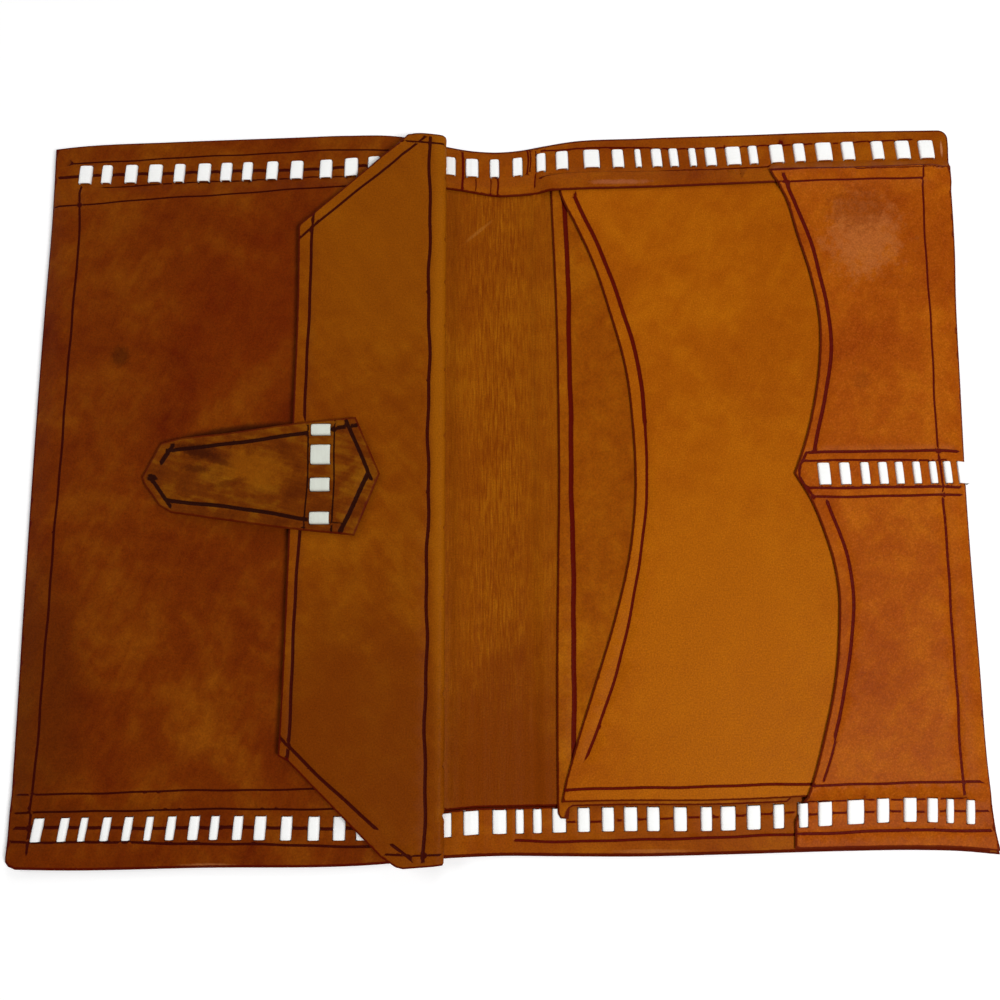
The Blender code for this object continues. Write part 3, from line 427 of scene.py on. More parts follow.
def top_strip_height(x, y):
    """The upper strip: low over the lace row, higher where it lies on the lining or on the pockets."""
    top, _ = rows_from(x, y)
    over_pockets = ease(12.5, 19.5, x)
    inner_z = SPINE_STRIP_Z + (PANEL_Z - SPINE_STRIP_Z) * over_pockets - right_drop(x)
    level = BORDER_Z + (inner_z - BORDER_Z) * ease(DROP_TO, DROP_FROM, top)
    return level + swell(x, y) + wrinkle(x, y)


def panel_height(x, y):
    """The card panel lies on the pockets, runs over the upper strip and drops to the border at its foot."""
    _, bottom = rows_from(x, y)
    inner_z = np.maximum(PANEL_Z - right_drop(x), PANEL_FOOT_Z)
    level = PANEL_FOOT_Z + (inner_z - PANEL_FOOT_Z) * ease(PANEL_DROP_TO, PANEL_DROP_FROM, bottom)
    strip_y = strip_inner_edge(x)
    level = level + (PANEL_OVER_STRIP_Z - PANEL_Z) * ease(strip_y - 2.8, strip_y - 0.3, y)
    return level + swell(x, y) + MIDDLE_BULGE(x, y) + lumps(x, y, 12.0, 0.10)


def middle_pocket_height(x, y):
    """The middle pocket lies on the back pocket, and its free edge stands up a little near its upper horn."""
    horn = 0.55 * ease(24, 3, np.hypot((x - 24.0) * 1.3, (y - 78.0) * 0.8))
    tucked = 0.2 * ease(98, 100, y)
    level = MIDDLE_POCKET_Z - tucked - right_drop(x) + swell(x, y) + MIDDLE_BULGE(x, y)
    return level + lumps(x, y, 12.0, 0.08) + horn * 0.3


strip_inner_edge = through([(-30, 99), (-20, 98.6), (-13, 97.7), (-4, 95.9), (1, 95.1), (8, 95.3), (14, 95.7),
                            (20, 96), (52, 96.5), (92, 97.4), (150, 98.4)])


def polygon_mask(points, polygon):
    """Which points lie inside a closed outline."""
    px, py = points[:, 0], points[:, 1]
    hit = np.zeros(len(points), bool)
    for (ax, ay), (bx, by) in zip(polygon, np.roll(polygon, -1, axis=0)):
        if ay != by:
            hit ^= ((ay > py) != (by > py)) & (px < ax + (bx - ax) * (py - ay) / (by - ay))
    return hit


def distance_to(points, line, closed=False, skipped=None):
    """The distance from each point to a line of segments, some of which can be skipped."""
    ends = np.roll(line, -1, axis=0) if closed else line[1:]
    starts = line if closed else line[:-1]
    if skipped is not None:
        starts, ends = starts[~skipped], ends[~skipped]
    best = np.full(len(points), 1e9)
    for a, b in zip(starts, ends):
        run = b - a
        t = np.clip((points - a) @ run / max(run @ run, 1e-12), 0.0, 1.0)
        best = np.minimum(best, np.hypot(*(points - a - t[:, None] * run).T))
    return best


def left_of(steps):
    """Unit vectors to the left of a line's steps."""
    return np.column_stack((-steps[:, 1], steps[:, 0])) / np.maximum(np.hypot(*steps.T), 1e-9)[:, None]


class ToolLine:
    """A burnished line pressed into a sheet by hand."""

    def __init__(self, points, width, strength=1.0, depth=0.22, wander=0.12):
        line = path(points, LINE_STEP)
        self.across = left_of(np.gradient(line, axis=0))
        along = np.arange(len(line)) * LINE_STEP
        phase = line[0, 0] * 0.37 + line[0, 1] * 0.21
        drift = wander * (np.sin(along / 7.3 + phase) + 0.6 * np.sin(along / 2.9 + 2 * phase))
        self.line = line + self.across * drift[:, None]
        self.reach = width * 0.68
        self.depth = depth
        self.strength = strength

    def rows(self):
        """Rows of mesh points along the groove."""
        offsets = (-1.0, -0.5, 0.0, 0.5, 1.0)
        return np.vstack([self.line + self.across * self.reach * k for k in offsets])

    def mark(self, points):
        """1 in the groove and 0 outside it."""
        low, high = self.line.min(axis=0) - 3, self.line.max(axis=0) + 3
        near = np.all((points > low) & (points < high), axis=1)
        mark = np.zeros(len(points))
        if near.any():
            mark[near] = ease(self.reach, self.reach * 0.45, distance_to(points[near], self.line))
        return mark


def tool_lines(*rows):
    """Tool lines from rows of points, width, and where they differ strength, depth and wander."""
    return [ToolLine(*row) for row in rows]


def grid_over(outline, dx, dy):
    """Rows of points over an outline's box, every other row moved by half a step."""
    low, high = outline.min(axis=0), outline.max(axis=0)
    xs, ys = np.meshgrid(np.arange(low[0], high[0], dx), np.arange(low[1], high[1], dy))
    xs = xs + (np.arange(len(xs)) % 2)[:, None] * dx / 2
    return np.column_stack((xs.ravel(), ys.ravel()))


def add(name, data):
    """An object in the scene."""
    made = bpy.data.objects.new(name, data)
    bpy.context.scene.collection.objects.link(made)
    return made


def make_mesh(name, verts, faces, marks, material):
    """A smooth-shaded mesh piece with its layout places and marks kept as attributes."""
    mesh = bpy.data.meshes.new(name)
    mesh.from_pydata((np.asarray(verts) * MM).tolist(), [], faces)
    mesh.validate()
    for key, values in marks.items():
        kind, field = ("FLOAT_VECTOR", "vector") if np.ndim(values) == 2 else ("FLOAT", "value")
        attribute = mesh.attributes.new(key, kind, "POINT")
        attribute.data.foreach_set(field, np.asarray(values, np.float32).ravel())
    mesh.shade_smooth()
    mesh.set_sharp_from_angle(angle=radians(SMOOTH_ANGLE))
    mesh.materials.append(material)
    return add(name, mesh)


def near_slit(points, slit):
    """Which points are close enough to a slit to be tested against it."""
    return np.all(np.abs(points - slit.mean(axis=0)) < SLIT_LENGTH, axis=1)


def free_points(outline, on_cut, slits, lines, grid, extra):
    """Mesh points inside an outline: rings along the edge, rows along the grooves, and a grid."""
    inward = left_of(np.roll(outline, -1, axis=0) - np.roll(outline, 1, axis=0))
    found = []
    for depth in (EDGE_ROUND, RIM_WIDTH):
        ring = (outline + inward * depth)[~on_cut]
        found.append(ring[polygon_mask(ring, outline) & (distance_to(ring, outline, True) > depth * 0.75)])
    rows = np.vstack([NO_POINTS] + [line.rows() for line in lines])
    found.append(rows[polygon_mask(rows, outline)])

    keep_off = min(0.45 * grid, 1.2)
    field = np.vstack((grid_over(outline, grid, grid * 0.87), extra))
    field = field[polygon_mask(field, outline)]
    field = field[distance_to(field, outline, True) > RIM_WIDTH + 0.3 * keep_off]
    for line in lines:
        field = field[distance_to(field, line.line) > line.reach + 0.4 * keep_off]

    free = np.vstack(found + [field])
    free = free[distance_to(free, outline, True) > 0.2]
    for slit in slits:
        near = near_slit(free, slit)
        blocked = np.zeros(len(free), bool)
        blocked[near] = polygon_mask(free[near], slit) | (distance_to(free[near], slit, True) < 0.25)
        free = free[~blocked]
    return free


def triangulated(outline, slits, free):
    """The flat points and triangles of a sheet, cut to its outline and its slits."""
    points, edges = [], []
    for loop in (outline, *slits):
        base = len(points)
        points += [tuple(p) for p in loop]
        edges += [(base + i, base + (i + 1) % len(loop)) for i in range(len(loop))]
    points += [tuple(p) for p in free]
    flat, _, triangles, *_ = delaunay_2d_cdt(points, edges, [], 0, MERGE_DISTANCE, False)
    flat = np.array([tuple(p) for p in flat])
    tris = np.array([t for t in triangles if len(t) == 3])
    middles = flat[tris].mean(axis=1)
    keep = polygon_mask(middles, outline)
    for slit in slits:
        near = near_slit(middles, slit)
        keep[near] &= ~polygon_mask(middles[near], slit)
    tris = tris[keep]
    a, b, c = (flat[tris[:, i]] for i in range(3))
    turn = (b[:, 0] - a[:, 0]) * (c[:, 1] - a[:, 1]) - (b[:, 1] - a[:, 1]) * (c[:, 0] - a[:, 0])
    tris[turn < 0] = tris[turn < 0][:, ::-1]
    used, index = np.unique(tris, return_inverse=True)
    return flat[used], index.reshape(tris.shape)


def pressed_by(lines, flat):
    """How deep tool lines press into a sheet at its points, and how dark they are there."""
    groove, tool = np.zeros(len(flat)), np.zeros(len(flat))
    for line in lines:
        mark = line.mark(flat)
        groove, tool = np.maximum(groove, mark * line.depth), np.maximum(tool, mark * line.strength)
    return groove, tool


def sheet(name, outline, thickness, height, material, seed, slits=(), lines=(), outer_lines=(), cuts=(),
          grid=GRID_STEP, extra=NO_POINTS, place=None):
    """A leather sheet with rounded edges, slits and tool lines, as one closed mesh."""
    on_cut = np.zeros(len(outline), bool)
    for cut in cuts:
        on_cut |= np.abs(outline[:, 0] - cut) < 1e-6
    free = free_points(outline, on_cut, slits, (*lines, *outer_lines), grid, extra)
    flat, tris = triangulated(outline, slits, free)
    from_edge = distance_to(flat, outline, True, on_cut & np.roll(on_cut, -1))
    at_edge = from_edge < 0.02
    groove, tool = pressed_by(lines, flat)
    outer_groove, outer_tool = pressed_by(outer_lines, flat)
    up_top = thickness - groove - EDGE_DROP * at_edge
    up_low = outer_groove + LOWER_EDGE_RISE * at_edge

    x, y = flat.T
    put = place or (lambda x, y, up: np.column_stack((x, y, height(x, y) + up)))
    verts = np.vstack((put(x, y, up_top), put(x, y, up_low)))
    count = len(flat)
    faces = tris.tolist() + (tris[:, ::-1] + count).tolist()
    directed = {(t[i], t[(i + 1) % 3]) for t in tris.tolist() for i in range(3)}
    faces += [(i + count, j + count, j, i) for i, j in sorted(directed) if (j, i) not in directed]
    up = np.concatenate((up_top, up_low))
    layout = np.column_stack((np.tile(x, 2), np.tile(y, 2), PATTERN_GAP * seed + up))
    rim = ease(RIM_WIDTH, 0.0, from_edge)
    marks = {"layout": layout, "tool": np.concatenate((tool, outer_tool)), "rim": np.tile(rim, 2)}
    return make_mesh(name, verts, faces, marks, material)


def rounded_corners(route, bend, facets=4):
    """A route of straight runs with each corner turned on a small arc."""
    out = [route[0]]
    for before, corner, after in zip(route, route[1:], route[2:]):
        before, corner, after = (np.array(p, float) for p in (before, corner, after))
        back, ahead = before - corner, after - corner
        cut = min(bend, 0.48 * hypot(*back), 0.48 * hypot(*ahead))
        start, end = corner + back / hypot(*back) * cut, corner + ahead / hypot(*ahead) * cut
        for i in range(facets + 1):
            t = i / facets
            out.append(tuple(start * (1 - t) ** 2 + corner * 2 * t * (1 - t) + end * t * t))
    return out + [route[-1]]


def lace_section():
    """Points round the lace's flat section as (across, out), with soft corners and a faint crown."""
    w, t = LACE_WIDTH / 2, LACE_THICKNESS / 2
    upper = [(-w, 0.0), (-w + 0.06, 0.6 * t), (-w + 0.3, t), (-w * 0.5, t + 0.03), (0.0, t + 0.05),
             (w * 0.5, t + 0.03), (w - 0.3, t), (w - 0.06, 0.6 * t), (w, 0.0)]
    lower = [(w - 0.06, -0.6 * t), (w - 0.3, -t), (0.0, -t), (-w + 0.3, -t), (-w + 0.06, -0.6 * t)]
    return upper + lower


def lace(name, route, put, seed, material):
    """A flat lace swept along its route; put(along, across, up) gives a point's place."""
    section = lace_section()
    route = np.array(route)
    step = np.gradient(route, axis=0)
    step /= np.maximum(np.hypot(*step.T), 1e-9)[:, None]
    verts, layout = [], []
    length = 0.0
    for i, ((a, z), (da, dz)) in enumerate(zip(route, step)):
        if i:
            length += hypot(a - route[i - 1][0], z - route[i - 1][1])
        for s, t in section:
            verts.append(put(a - dz * t, s, z + da * t))
            layout.append((length, s, t + PATTERN_GAP * seed))
    n, rings = len(section), len(route)
    faces = [tuple(range(n))]
    for i in range(rings - 1):
        for j in range(n):
            k = (j + 1) % n
            faces.append((i * n + j, (i + 1) * n + j, (i + 1) * n + k, i * n + k))
    faces.append(tuple(range((rings - 1) * n, rings * n))[::-1])
    zeros = np.zeros(len(verts))
    return make_mesh(name, verts, faces, {"layout": np.array(layout), "tool": zeros, "rim": zeros}, material)


def lace_route(stitches, row_y, over, under):
    """The lace's line as (along, height): under the leather, up at each stitch's start, down at its end."""
    half = LACE_THICKNESS / 2
    low = under + half
    route = [(stitches[0][0] - stitches[0][1] / 2 - LACE_TAIL, low)]
    for centre, width in stitches:
        reach = half_span(centre, width, row_y)
        start, end, high = centre - reach, centre + reach, over(centre) + half
        route += [(start, low), (start, high), (centre, high + STITCH_CROWN), (end, high), (end, low)]
    route.append((stitches[-1][0] + stitches[-1][1] / 2 + LACE_TAIL, low))
    return route


def clipped(route, x0, x1):
    """The part of a lace's line between two places along it."""
    kept = []
    for (ax, az), (bx, bz) in zip(route, route[1:]):
        if bx < x0 or ax > x1:
            continue
        for x, z, other_x, other_z in ((ax, az, bx, bz), (bx, bz, ax, az)):
            t = 0.0 if bx == ax else (min(max(x, x0), x1) - x) / (other_x - x)
            point = (x + t * (other_x - x), z + t * (other_z - z))
            if not kept or hypot(point[0] - kept[-1][0], point[1] - kept[-1][1]) > 1e-6:
                kept.append(point)
    return kept


def srgb(red, green, blue):
    """A colour given in the 0 to 255 values of a screen, as Blender's linear colour."""
    scaled = [c / 255 for c in (red, green, blue)]
    return tuple(c / 12.92 if c <= 0.04045 else ((c + 0.055) / 1.055) ** 2.4 for c in scaled) + (1.0,)


# A size so large that a texture doesn't change along its axis
NO_DEPTH = 1e6


class Skin:
    """The nodes of a procedural material or of the world, built one by one."""

    def __init__(self, owner):
        owner.use_nodes = True
        self.owner = owner
        self.tree = owner.node_tree

    def node(self, kind, inputs=None, **settings):
        """A new node with its settings and inputs."""
        made = self.tree.nodes.new(kind)
        for key, value in settings.items():
            setattr(made, key, value)
        for key, value in (inputs or {}).items():
            self.feed(made.inputs[key], value)
        return made

    def feed(self, socket, value):
        """Links an output to a socket, or sets a plain value on it."""
        if isinstance(value, bpy.types.NodeSocket):
            self.tree.links.new(value, socket)
        else:
            socket.default_value = value

    def surface(self, inputs):
        """Feeds the shader, and gives the finished material."""
        for key, value in inputs.items():
            self.feed(self.tree.nodes["Principled BSDF"].inputs[key], value)
        return self.owner

    def attribute(self, name, output="Fac"):
        """A mark that the mesh keeps at its points."""
        return self.node("ShaderNodeAttribute", attribute_name=name).outputs[output]

    def math(self, operation, *values):
        """The result of a sum, product or the like."""
        return self.node("ShaderNodeMath", dict(enumerate(values)), operation=operation).outputs[0]

    def vector(self, operation, *values, output=0):
        """The result of a sum or length of vectors."""
        return self.node("ShaderNodeVectorMath", dict(enumerate(values)), operation=operation).outputs[output]

    def stretch(self, place, sizes, turn=0.0):
        """The place counted in units of given sizes, along axes turned by an angle."""
        inputs = {"Vector": place, "Scale": sizes, "Rotation": (0.0, 0.0, radians(turn))}
        return self.node("ShaderNodeMapping", inputs, vector_type="TEXTURE").outputs[0]

    def noise(self, place, scale, detail=3.0, roughness=0.5, distortion=0.0):
        """Soft noise from 0 to 1."""
        inputs = {"Vector": place, "Scale": scale, "Detail": detail, "Roughness": roughness,
                  "Distortion": distortion}
        return self.node("ShaderNodeTexNoise", inputs).outputs["Fac"]

    def range(self, value, low, high, to_low=0.0, to_high=1.0):
        """A smooth step from one value to another."""
        inputs = {"Value": value, "From Min": low, "From Max": high, "To Min": to_low, "To Max": to_high}
        return self.node("ShaderNodeMapRange", inputs, interpolation_type="SMOOTHSTEP").outputs["Result"]

    def swing(self, value, share, middle):
        """A noise's swing round its own middle, scaled and moved to another middle."""
        return self.math("MULTIPLY_ADD", self.math("SUBTRACT", value, 0.5), share, middle)

    def total(self, *weighted):
        """0.5 with the swing of several noises added, each by its weight."""
        total = 0.5
        for weight, value in weighted:
            total = self.swing(value, weight, total)
        return total

    def ramp(self, value, *colours):
        """Evenly spaced colours picked by a value from 0 to 1."""
        made = self.node("ShaderNodeValToRGB", {"Fac": value})
        stops = made.color_ramp.elements
        while len(stops) < len(colours):
            stops.new(0.5)
        for i, colour in enumerate(colours):
            stops[i].position = i / (len(colours) - 1)
            stops[i].color = colour
        return made.outputs["Color"]

    def mix(self, share, a, b, blend="MIX"):
        """Two colours mixed or multiplied."""
        return self.node("ShaderNodeMix", {0: share, 6: a, 7: b}, data_type="RGBA",
                         blend_type=blend).outputs[2]

    def bump(self, height, distance, strength, normal=None):
        """A relief of some millimetres, laid over an earlier one."""
        inputs = {"Height": height, "Distance": distance * MM, "Strength": strength}
        if normal is not None:
            inputs["Normal"] = normal
        return self.node("ShaderNodeBump", inputs).outputs[0]

    def spot(self, place, blotch):
        """1 in the middle of a blotch, fading out at its radii, with an uneven edge."""
        moved = self.vector("SUBTRACT", place, (*blotch.centre, 0.0))
        scaled = self.stretch(moved, (*blotch.radii, NO_DEPTH), blotch.turn)
        away = self.vector("LENGTH", scaled, output="Value")
        broken = self.noise(place, 4.5 / max(blotch.radii), 8.0, 0.75)
        uneven = self.math("MULTIPLY_ADD", broken, blotch.ragged * 2, away)
        return self.range(uneven, 1.0 + blotch.ragged, 0.35 + blotch.ragged)


TOOL_COLOUR = srgb(82, 6, 1)
DEEP_TOOL_COLOUR = srgb(54, 5, 1)
TAB_TOOL_COLOUR = srgb(34, 6, 2)
RIM_COLOUR = srgb(78, 8, 1)
GLINT_COLOUR = srgb(214, 140, 84)

# Sizes of the leather's unevenness
CLOUD_SIZE = 30.0
MOTTLE_SIZE = 5.5
GRAIN_SIZE = 0.48
GRAIN_DEPTH = 1.6
PEBBLE_SIZE = 0.87
STREAK_SIZES = (26, 4, 20)
FOLD_SIZES = (12, 2.6, 12)
GLOSS = 0.40


def furrow_noise(skin, place):
    """Fine furrows along y, strongest in the middle of the wallet."""
    furrowed = skin.noise(skin.stretch(place, (0.5, 7.5, 10.0)), 1.0, 2.0, 0.6, 0.35)
    aside = skin.math("ABSOLUTE", skin.node("ShaderNodeSeparateXYZ", {"Vector": place}).outputs["X"])
    return skin.swing(furrowed, skin.range(aside, 4.0, 12.0, 1.0, 0.45), 0.5)


def leather(name, colour, swing=30, clouds=0.9, mottle=0.5, grain=0.6, streaks=0.25, streak_turn=70.0,
            furrows=0.0, glints=0.0, creases=0.12, shine=0.02, line_colour=TOOL_COLOUR, edge=0.92, blotches=()):
    """Hand-dyed goat leather: cloudy colour, fine grain and dark tool lines.

    The colour swings by some screen levels to either side, and the weights say how much of it is clouds,
    mottling, streaks along one direction, and fine furrows along y. The grain darkens and lightens it all.
    """
    skin = Skin(bpy.data.materials.new(name))
    place = skin.attribute("layout", "Vector")
    tool, rim = skin.attribute("tool"), skin.attribute("rim")
    cloudy = skin.noise(place, 1 / CLOUD_SIZE, 4.0, 0.55, 0.5)
    mottled = skin.noise(place, 1 / MOTTLE_SIZE, 4.0, 0.5, 0.4)
    grainy = skin.noise(place, 1 / GRAIN_SIZE, 2.0, 0.65)
    streaked = skin.noise(skin.stretch(place, STREAK_SIZES, streak_turn), 1.0, 5.0, 0.62, 0.3)
    tone = [(clouds, cloudy), (mottle, mottled), (streaks, streaked)]
    furrowed = furrow_noise(skin, place) if furrows else None
    if furrows:
        tone.append((furrows, furrowed))
    darker = srgb(*[max(c - swing, 1) for c in colour])
    lighter = srgb(*[c + swing for c in colour[:2]], colour[2] + swing // 6)
    shade = skin.ramp(skin.total(*tone), darker, srgb(*colour), lighter)
    # Glints are a painted highlight: light specks mixed into the base colour
    if glints:
        shade = skin.mix(skin.math("MULTIPLY", skin.range(grainy, 0.56, 0.74), glints), shade, GLINT_COLOUR)
    for blotch in blotches:
        share = skin.math("MULTIPLY", skin.spot(place, blotch), blotch.strength)
        shade = skin.mix(share, shade, srgb(*blotch.colour))
    shade = skin.mix(1.0, shade, skin.swing(grainy, grain * GRAIN_DEPTH, 1.0), "MULTIPLY")

    rough_line = skin.noise(place, 0.95, 3.0, 0.65)
    pressed = skin.math("MULTIPLY_ADD", rough_line, 0.75, skin.math("SUBTRACT", tool, 0.38))
    line = skin.range(pressed, 0.36, 0.60)
    halo = skin.math("MULTIPLY", skin.range(tool, 0.02, 0.5), 0.35)
    # Dark cut edges: the burnished edge, widened by a painted edge shadow
    burnished_and_shaded_edge = skin.range(skin.math("MULTIPLY_ADD", rough_line, 0.5, rim), 0.44, 0.75)
    shade = skin.mix(halo, shade, line_colour)
    shade = skin.mix(skin.math("MULTIPLY", line, 0.96), shade, line_colour)
    shade = skin.mix(skin.math("MULTIPLY", burnished_and_shaded_edge, edge), shade, RIM_COLOUR)
    matt = skin.math("MULTIPLY_ADD", mottled, 0.14, GLOSS)

    pebbles = {"Vector": place, "Scale": 1 / PEBBLE_SIZE, "Randomness": 1.0}
    normal = skin.bump(skin.node("ShaderNodeTexVoronoi", pebbles).outputs["Distance"], 0.05, 0.5)
    normal = skin.bump(grainy, 0.1 * grain, 0.6, normal)
    if furrows:
        normal = skin.bump(furrowed, 0.09 * furrows, 0.7, normal)
    folded = skin.noise(skin.stretch(place, FOLD_SIZES, streak_turn + 6), 1.0, 4.0, 0.6, 0.8)
    normal = skin.bump(folded, creases, 0.8, normal)
    ragged = skin.math("MULTIPLY", skin.noise(place, 1.6, 3.0, 0.7), line)
    return skin.surface({"Base Color": shade, "Roughness": skin.math("MULTIPLY_ADD", line, -0.14, matt),
                         "Specular IOR Level": shine, "Normal": skin.bump(ragged, 0.25, 0.9, normal)})


def lace_material(name, colour, soiled):
    """Smooth white lace with faint lengthwise lines."""
    skin = Skin(bpy.data.materials.new(name))
    place = skin.attribute("layout", "Vector")
    soft = skin.noise(place, 1 / 6, 3.0, 0.5)
    fibres = skin.noise(skin.stretch(place, (4.0, 0.5, 1.0)), 1.0, 3.0, 0.6)
    worn = skin.math("MULTIPLY", skin.range(soft, 0.4, 0.8), 0.2)
    worn = skin.math("MULTIPLY_ADD", skin.range(fibres, 0.45, 0.75), 0.15, worn)
    return skin.surface({"Base Color": skin.mix(worn, srgb(*colour), srgb(*soiled)),
                         "Roughness": skin.math("MULTIPLY_ADD", fibres, 0.12, 0.42),
                         "Specular IOR Level": 0.1, "Normal": skin.bump(fibres, 0.03, 0.5)})


def board_material():
    """Grey board with pressed fibres."""
    skin = Skin(bpy.data.materials.new("stiffener_board"))
    place = skin.attribute("layout", "Vector")
    fibres = skin.noise(skin.stretch(place, (2.5, 0.6, 1.0), 20), 1.0, 5.0, 0.7)
    shade = skin.mix(skin.range(fibres, 0.3, 0.7), srgb(150, 134, 112), srgb(176, 160, 138))
    return skin.surface({"Base Color": shade, "Roughness": skin.math("MULTIPLY_ADD", fibres, 0.1, 0.8),
                         "Normal": skin.bump(fibres, 0.05, 0.6)})


# A stain, scar or worn place, or a painted shadow, shade or highlight, with its colour in screen levels
Blotch = namedtuple("Blotch", "centre radii colour strength ragged turn", defaults=(0.5, 0.0))

STAIN = Blotch((-122, 41.5), (4.2, 4.6), (60, 20, 2), 0.6)
REDDENING = Blotch((-80, 55), (46, 34), (106, 32, 1), 0.35, 0.8, 60)
# Painted shade: the front panel darker towards its lower left, where the light falls off
FRONT_LOW_PAINTED_SHADE = Blotch((-148, -70), (30, 60), (84, 33, 2), 0.6)
# Painted shadow of the tab: a dark band on the front panel along the tab's upper edge
TAB_PAINTED_SHADOW = Blotch((-84, 15.8), (25, 2.7), (42, 11, 1), 0.8, 0.2, 7)
FRONT_HEM_GLINT = Blotch((-88, -117.6), (11, 0.8), (196, 126, 70), 0.3)
PANEL_DARK_WEAR = Blotch((119, 88), (13, 9.5), (128, 54, 6), 0.6, 1.3)
PANEL_PALE_WEAR = Blotch((120, 78), (15, 18), (172, 98, 48), 0.55, 1.3)
POCKET_LOW_GOLD = Blotch((72, -55), (52, 92), (169, 92, 5), 0.7, 0.6)
PANEL_SPOT = Blotch((116.3, 29.6), (4, 4.6), (122, 52, 4), 0.4)
SPINE_SCAR = Blotch((-5.6, 83.1), (7.6, 0.8), (176, 112, 44), 0.3, 0.5, 40)
SPINE_LOW_SHADE = Blotch((2, -96), (30, 62), (114, 48, 2), 0.9, 0.4)
TAB_DARK_FOLDS = (Blotch((-94.6, 9), (9, 3), (56, 17, 2), 0.85, 0.9, -14),
                  Blotch((-88, 5.6), (7, 1.5), (72, 26, 2), 0.7, 0.8, -20),
                  Blotch((-95, 3.4), (6, 1.6), (72, 26, 2), 0.7, 0.8, -8),
                  Blotch((-84, -1.5), (8, 1.6), (84, 30, 2), 0.6, 0.8, 10))
TAB_GOLD = Blotch((-76, 3), (14, 8), (140, 76, 6), 0.6, 0.8, -15)
# Pale mark along the upper strip's hem: wear, and a painted highlight on the hem's crest
HEM_WEAR_AND_HIGHLIGHT = Blotch((41, 98.6), (12, 1.2), (176, 104, 72), 0.35, 0.9)
HEM_SCRATCH = Blotch((148.9, 109.8), (0.5, 3.6), (196, 132, 88), 0.6, 0.3)
LOW_HEM_GLINT = Blotch((45, -114.4), (16, 0.8), (196, 126, 70), 0.2)
FLAP_TOP_GOLD = Blotch((-40, 80), (34, 66), (140, 73, 3), 0.6, 0.6)
FLAP_LOW_SHADE = Blotch((-44, -82), (44, 62), (108, 46, 2), 0.75, 0.6)
# Painted highlight: a lighter band along the flap's rolled fold
FLAP_ROLL_PAINTED_HIGHLIGHT = Blotch((-16, 30), (7, 150), (151, 84, 6), 0.85, 0.3)

COVER = leather("cover_leather", (126, 58, 4), streak_turn=78, line_colour=DEEP_TOOL_COLOUR)
LINING = leather("lining_leather", (135, 67, 3), clouds=0.6, mottle=0.35, streak_turn=90, furrows=1.4,
                 blotches=[SPINE_LOW_SHADE, SPINE_SCAR])
STRIP = leather("strip_leather", (137, 64, 4), streak_turn=5, blotches=[HEM_WEAR_AND_HIGHLIGHT, HEM_SCRATCH, LOW_HEM_GLINT])
FRONT = leather("front_panel_leather", (109, 43, 2), clouds=1.3, streaks=0.4, streak_turn=62, creases=0.2,
                line_colour=DEEP_TOOL_COLOUR,
                blotches=[REDDENING, FRONT_LOW_PAINTED_SHADE, STAIN, TAB_PAINTED_SHADOW, FRONT_HEM_GLINT])
FLAP = leather("flap_leather", (126, 60, 2), streaks=0.4, streak_turn=-52, creases=0.25,
               line_colour=DEEP_TOOL_COLOUR, blotches=[FLAP_TOP_GOLD, FLAP_LOW_SHADE, FLAP_ROLL_PAINTED_HIGHLIGHT])
TAB = leather("tab_leather", (104, 46, 3), 50, mottle=0.7, grain=0.5, streaks=0.8, streak_turn=-15,
              creases=0.4, line_colour=TAB_TOOL_COLOUR, edge=0.7, blotches=[TAB_GOLD, *TAB_DARK_FOLDS])
BACK = leather("back_pocket_leather", (143, 71, 3), mottle=0.65, streak_turn=84)
POCKET = leather("pocket_leather", (157, 79, 3), clouds=0.6, mottle=0.4, grain=0.65, streak_turn=60,
                 glints=0.03, creases=0.06, blotches=[POCKET_LOW_GOLD])
CARD = leather("card_pocket_leather", (155, 71, 3), mottle=0.55, grain=0.65, streak_turn=60, glints=0.06,
               shine=0.035, edge=0.85, blotches=[PANEL_PALE_WEAR, PANEL_DARK_WEAR, PANEL_SPOT])
LACE = lace_material("white_lace", (252, 252, 250), (236, 235, 229))
TAB_LACE = lace_material("tab_lace", (216, 219, 207), (190, 189, 176))
BOARD = board_material()


class Part:
    """One of the three parts that each long piece is cut into, with the crease that it bends over."""

    def __init__(self, label, x0, x1, bodies, crease, bend, nodes):
        self.label, self.x0, self.x1, self.bodies, self.nodes = label, x0, x1, bodies, nodes
        self.start, self.end = (((crease + reach) * MM, 0, 0) for reach in (-bend, bend))
        self.cuts = [x for x in (x0, x1) if x in (CUT_LEFT, CUT_RIGHT)]


PARTS = (
    Part("left", LEFT_END, CUT_LEFT, ("left_wing", "spine_left"), CREASE_LEFT, OUTER_BEND, ("left",)),
    Part("spine", CUT_LEFT, CUT_RIGHT, ("spine_left", "spine_right"), CREASE_MIDDLE, MIDDLE_BEND,
         ("spine_left", "spine_right")),
    Part("right", CUT_RIGHT, RIGHT_END, ("spine_right", "right_wing"), CREASE_RIGHT, OUTER_BEND, ("right",)))


def bend_over(piece, part, stem):
    """Fixes a part of a long piece in place and lets it stand for its nodes."""
    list(part.bodies)
    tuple(part.start)
    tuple(part.end)
    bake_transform(piece)
    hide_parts(*[f"{stem}_{node}" for node in part.nodes])


def carried(piece, body, slot, *nodes):
    """Lets a piece ride on one body and stand for its nodes."""
    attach(piece, body)
    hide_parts(*nodes)


def spine_grid(x0, x1, y0, y1):
    """Close points across the soft spine, for its wrinkles."""
    low, high = max(x0, -WRINKLED_TO), min(x1, WRINKLED_TO)
    return grid_over(np.array([(low, y0), (high, y0), (high, y1), (low, y1)]), *WRINKLE_GRID)


def shifted(curve, by):
    """A curve moved up, or down by a number below 0."""
    return lambda x: curve(x) + by


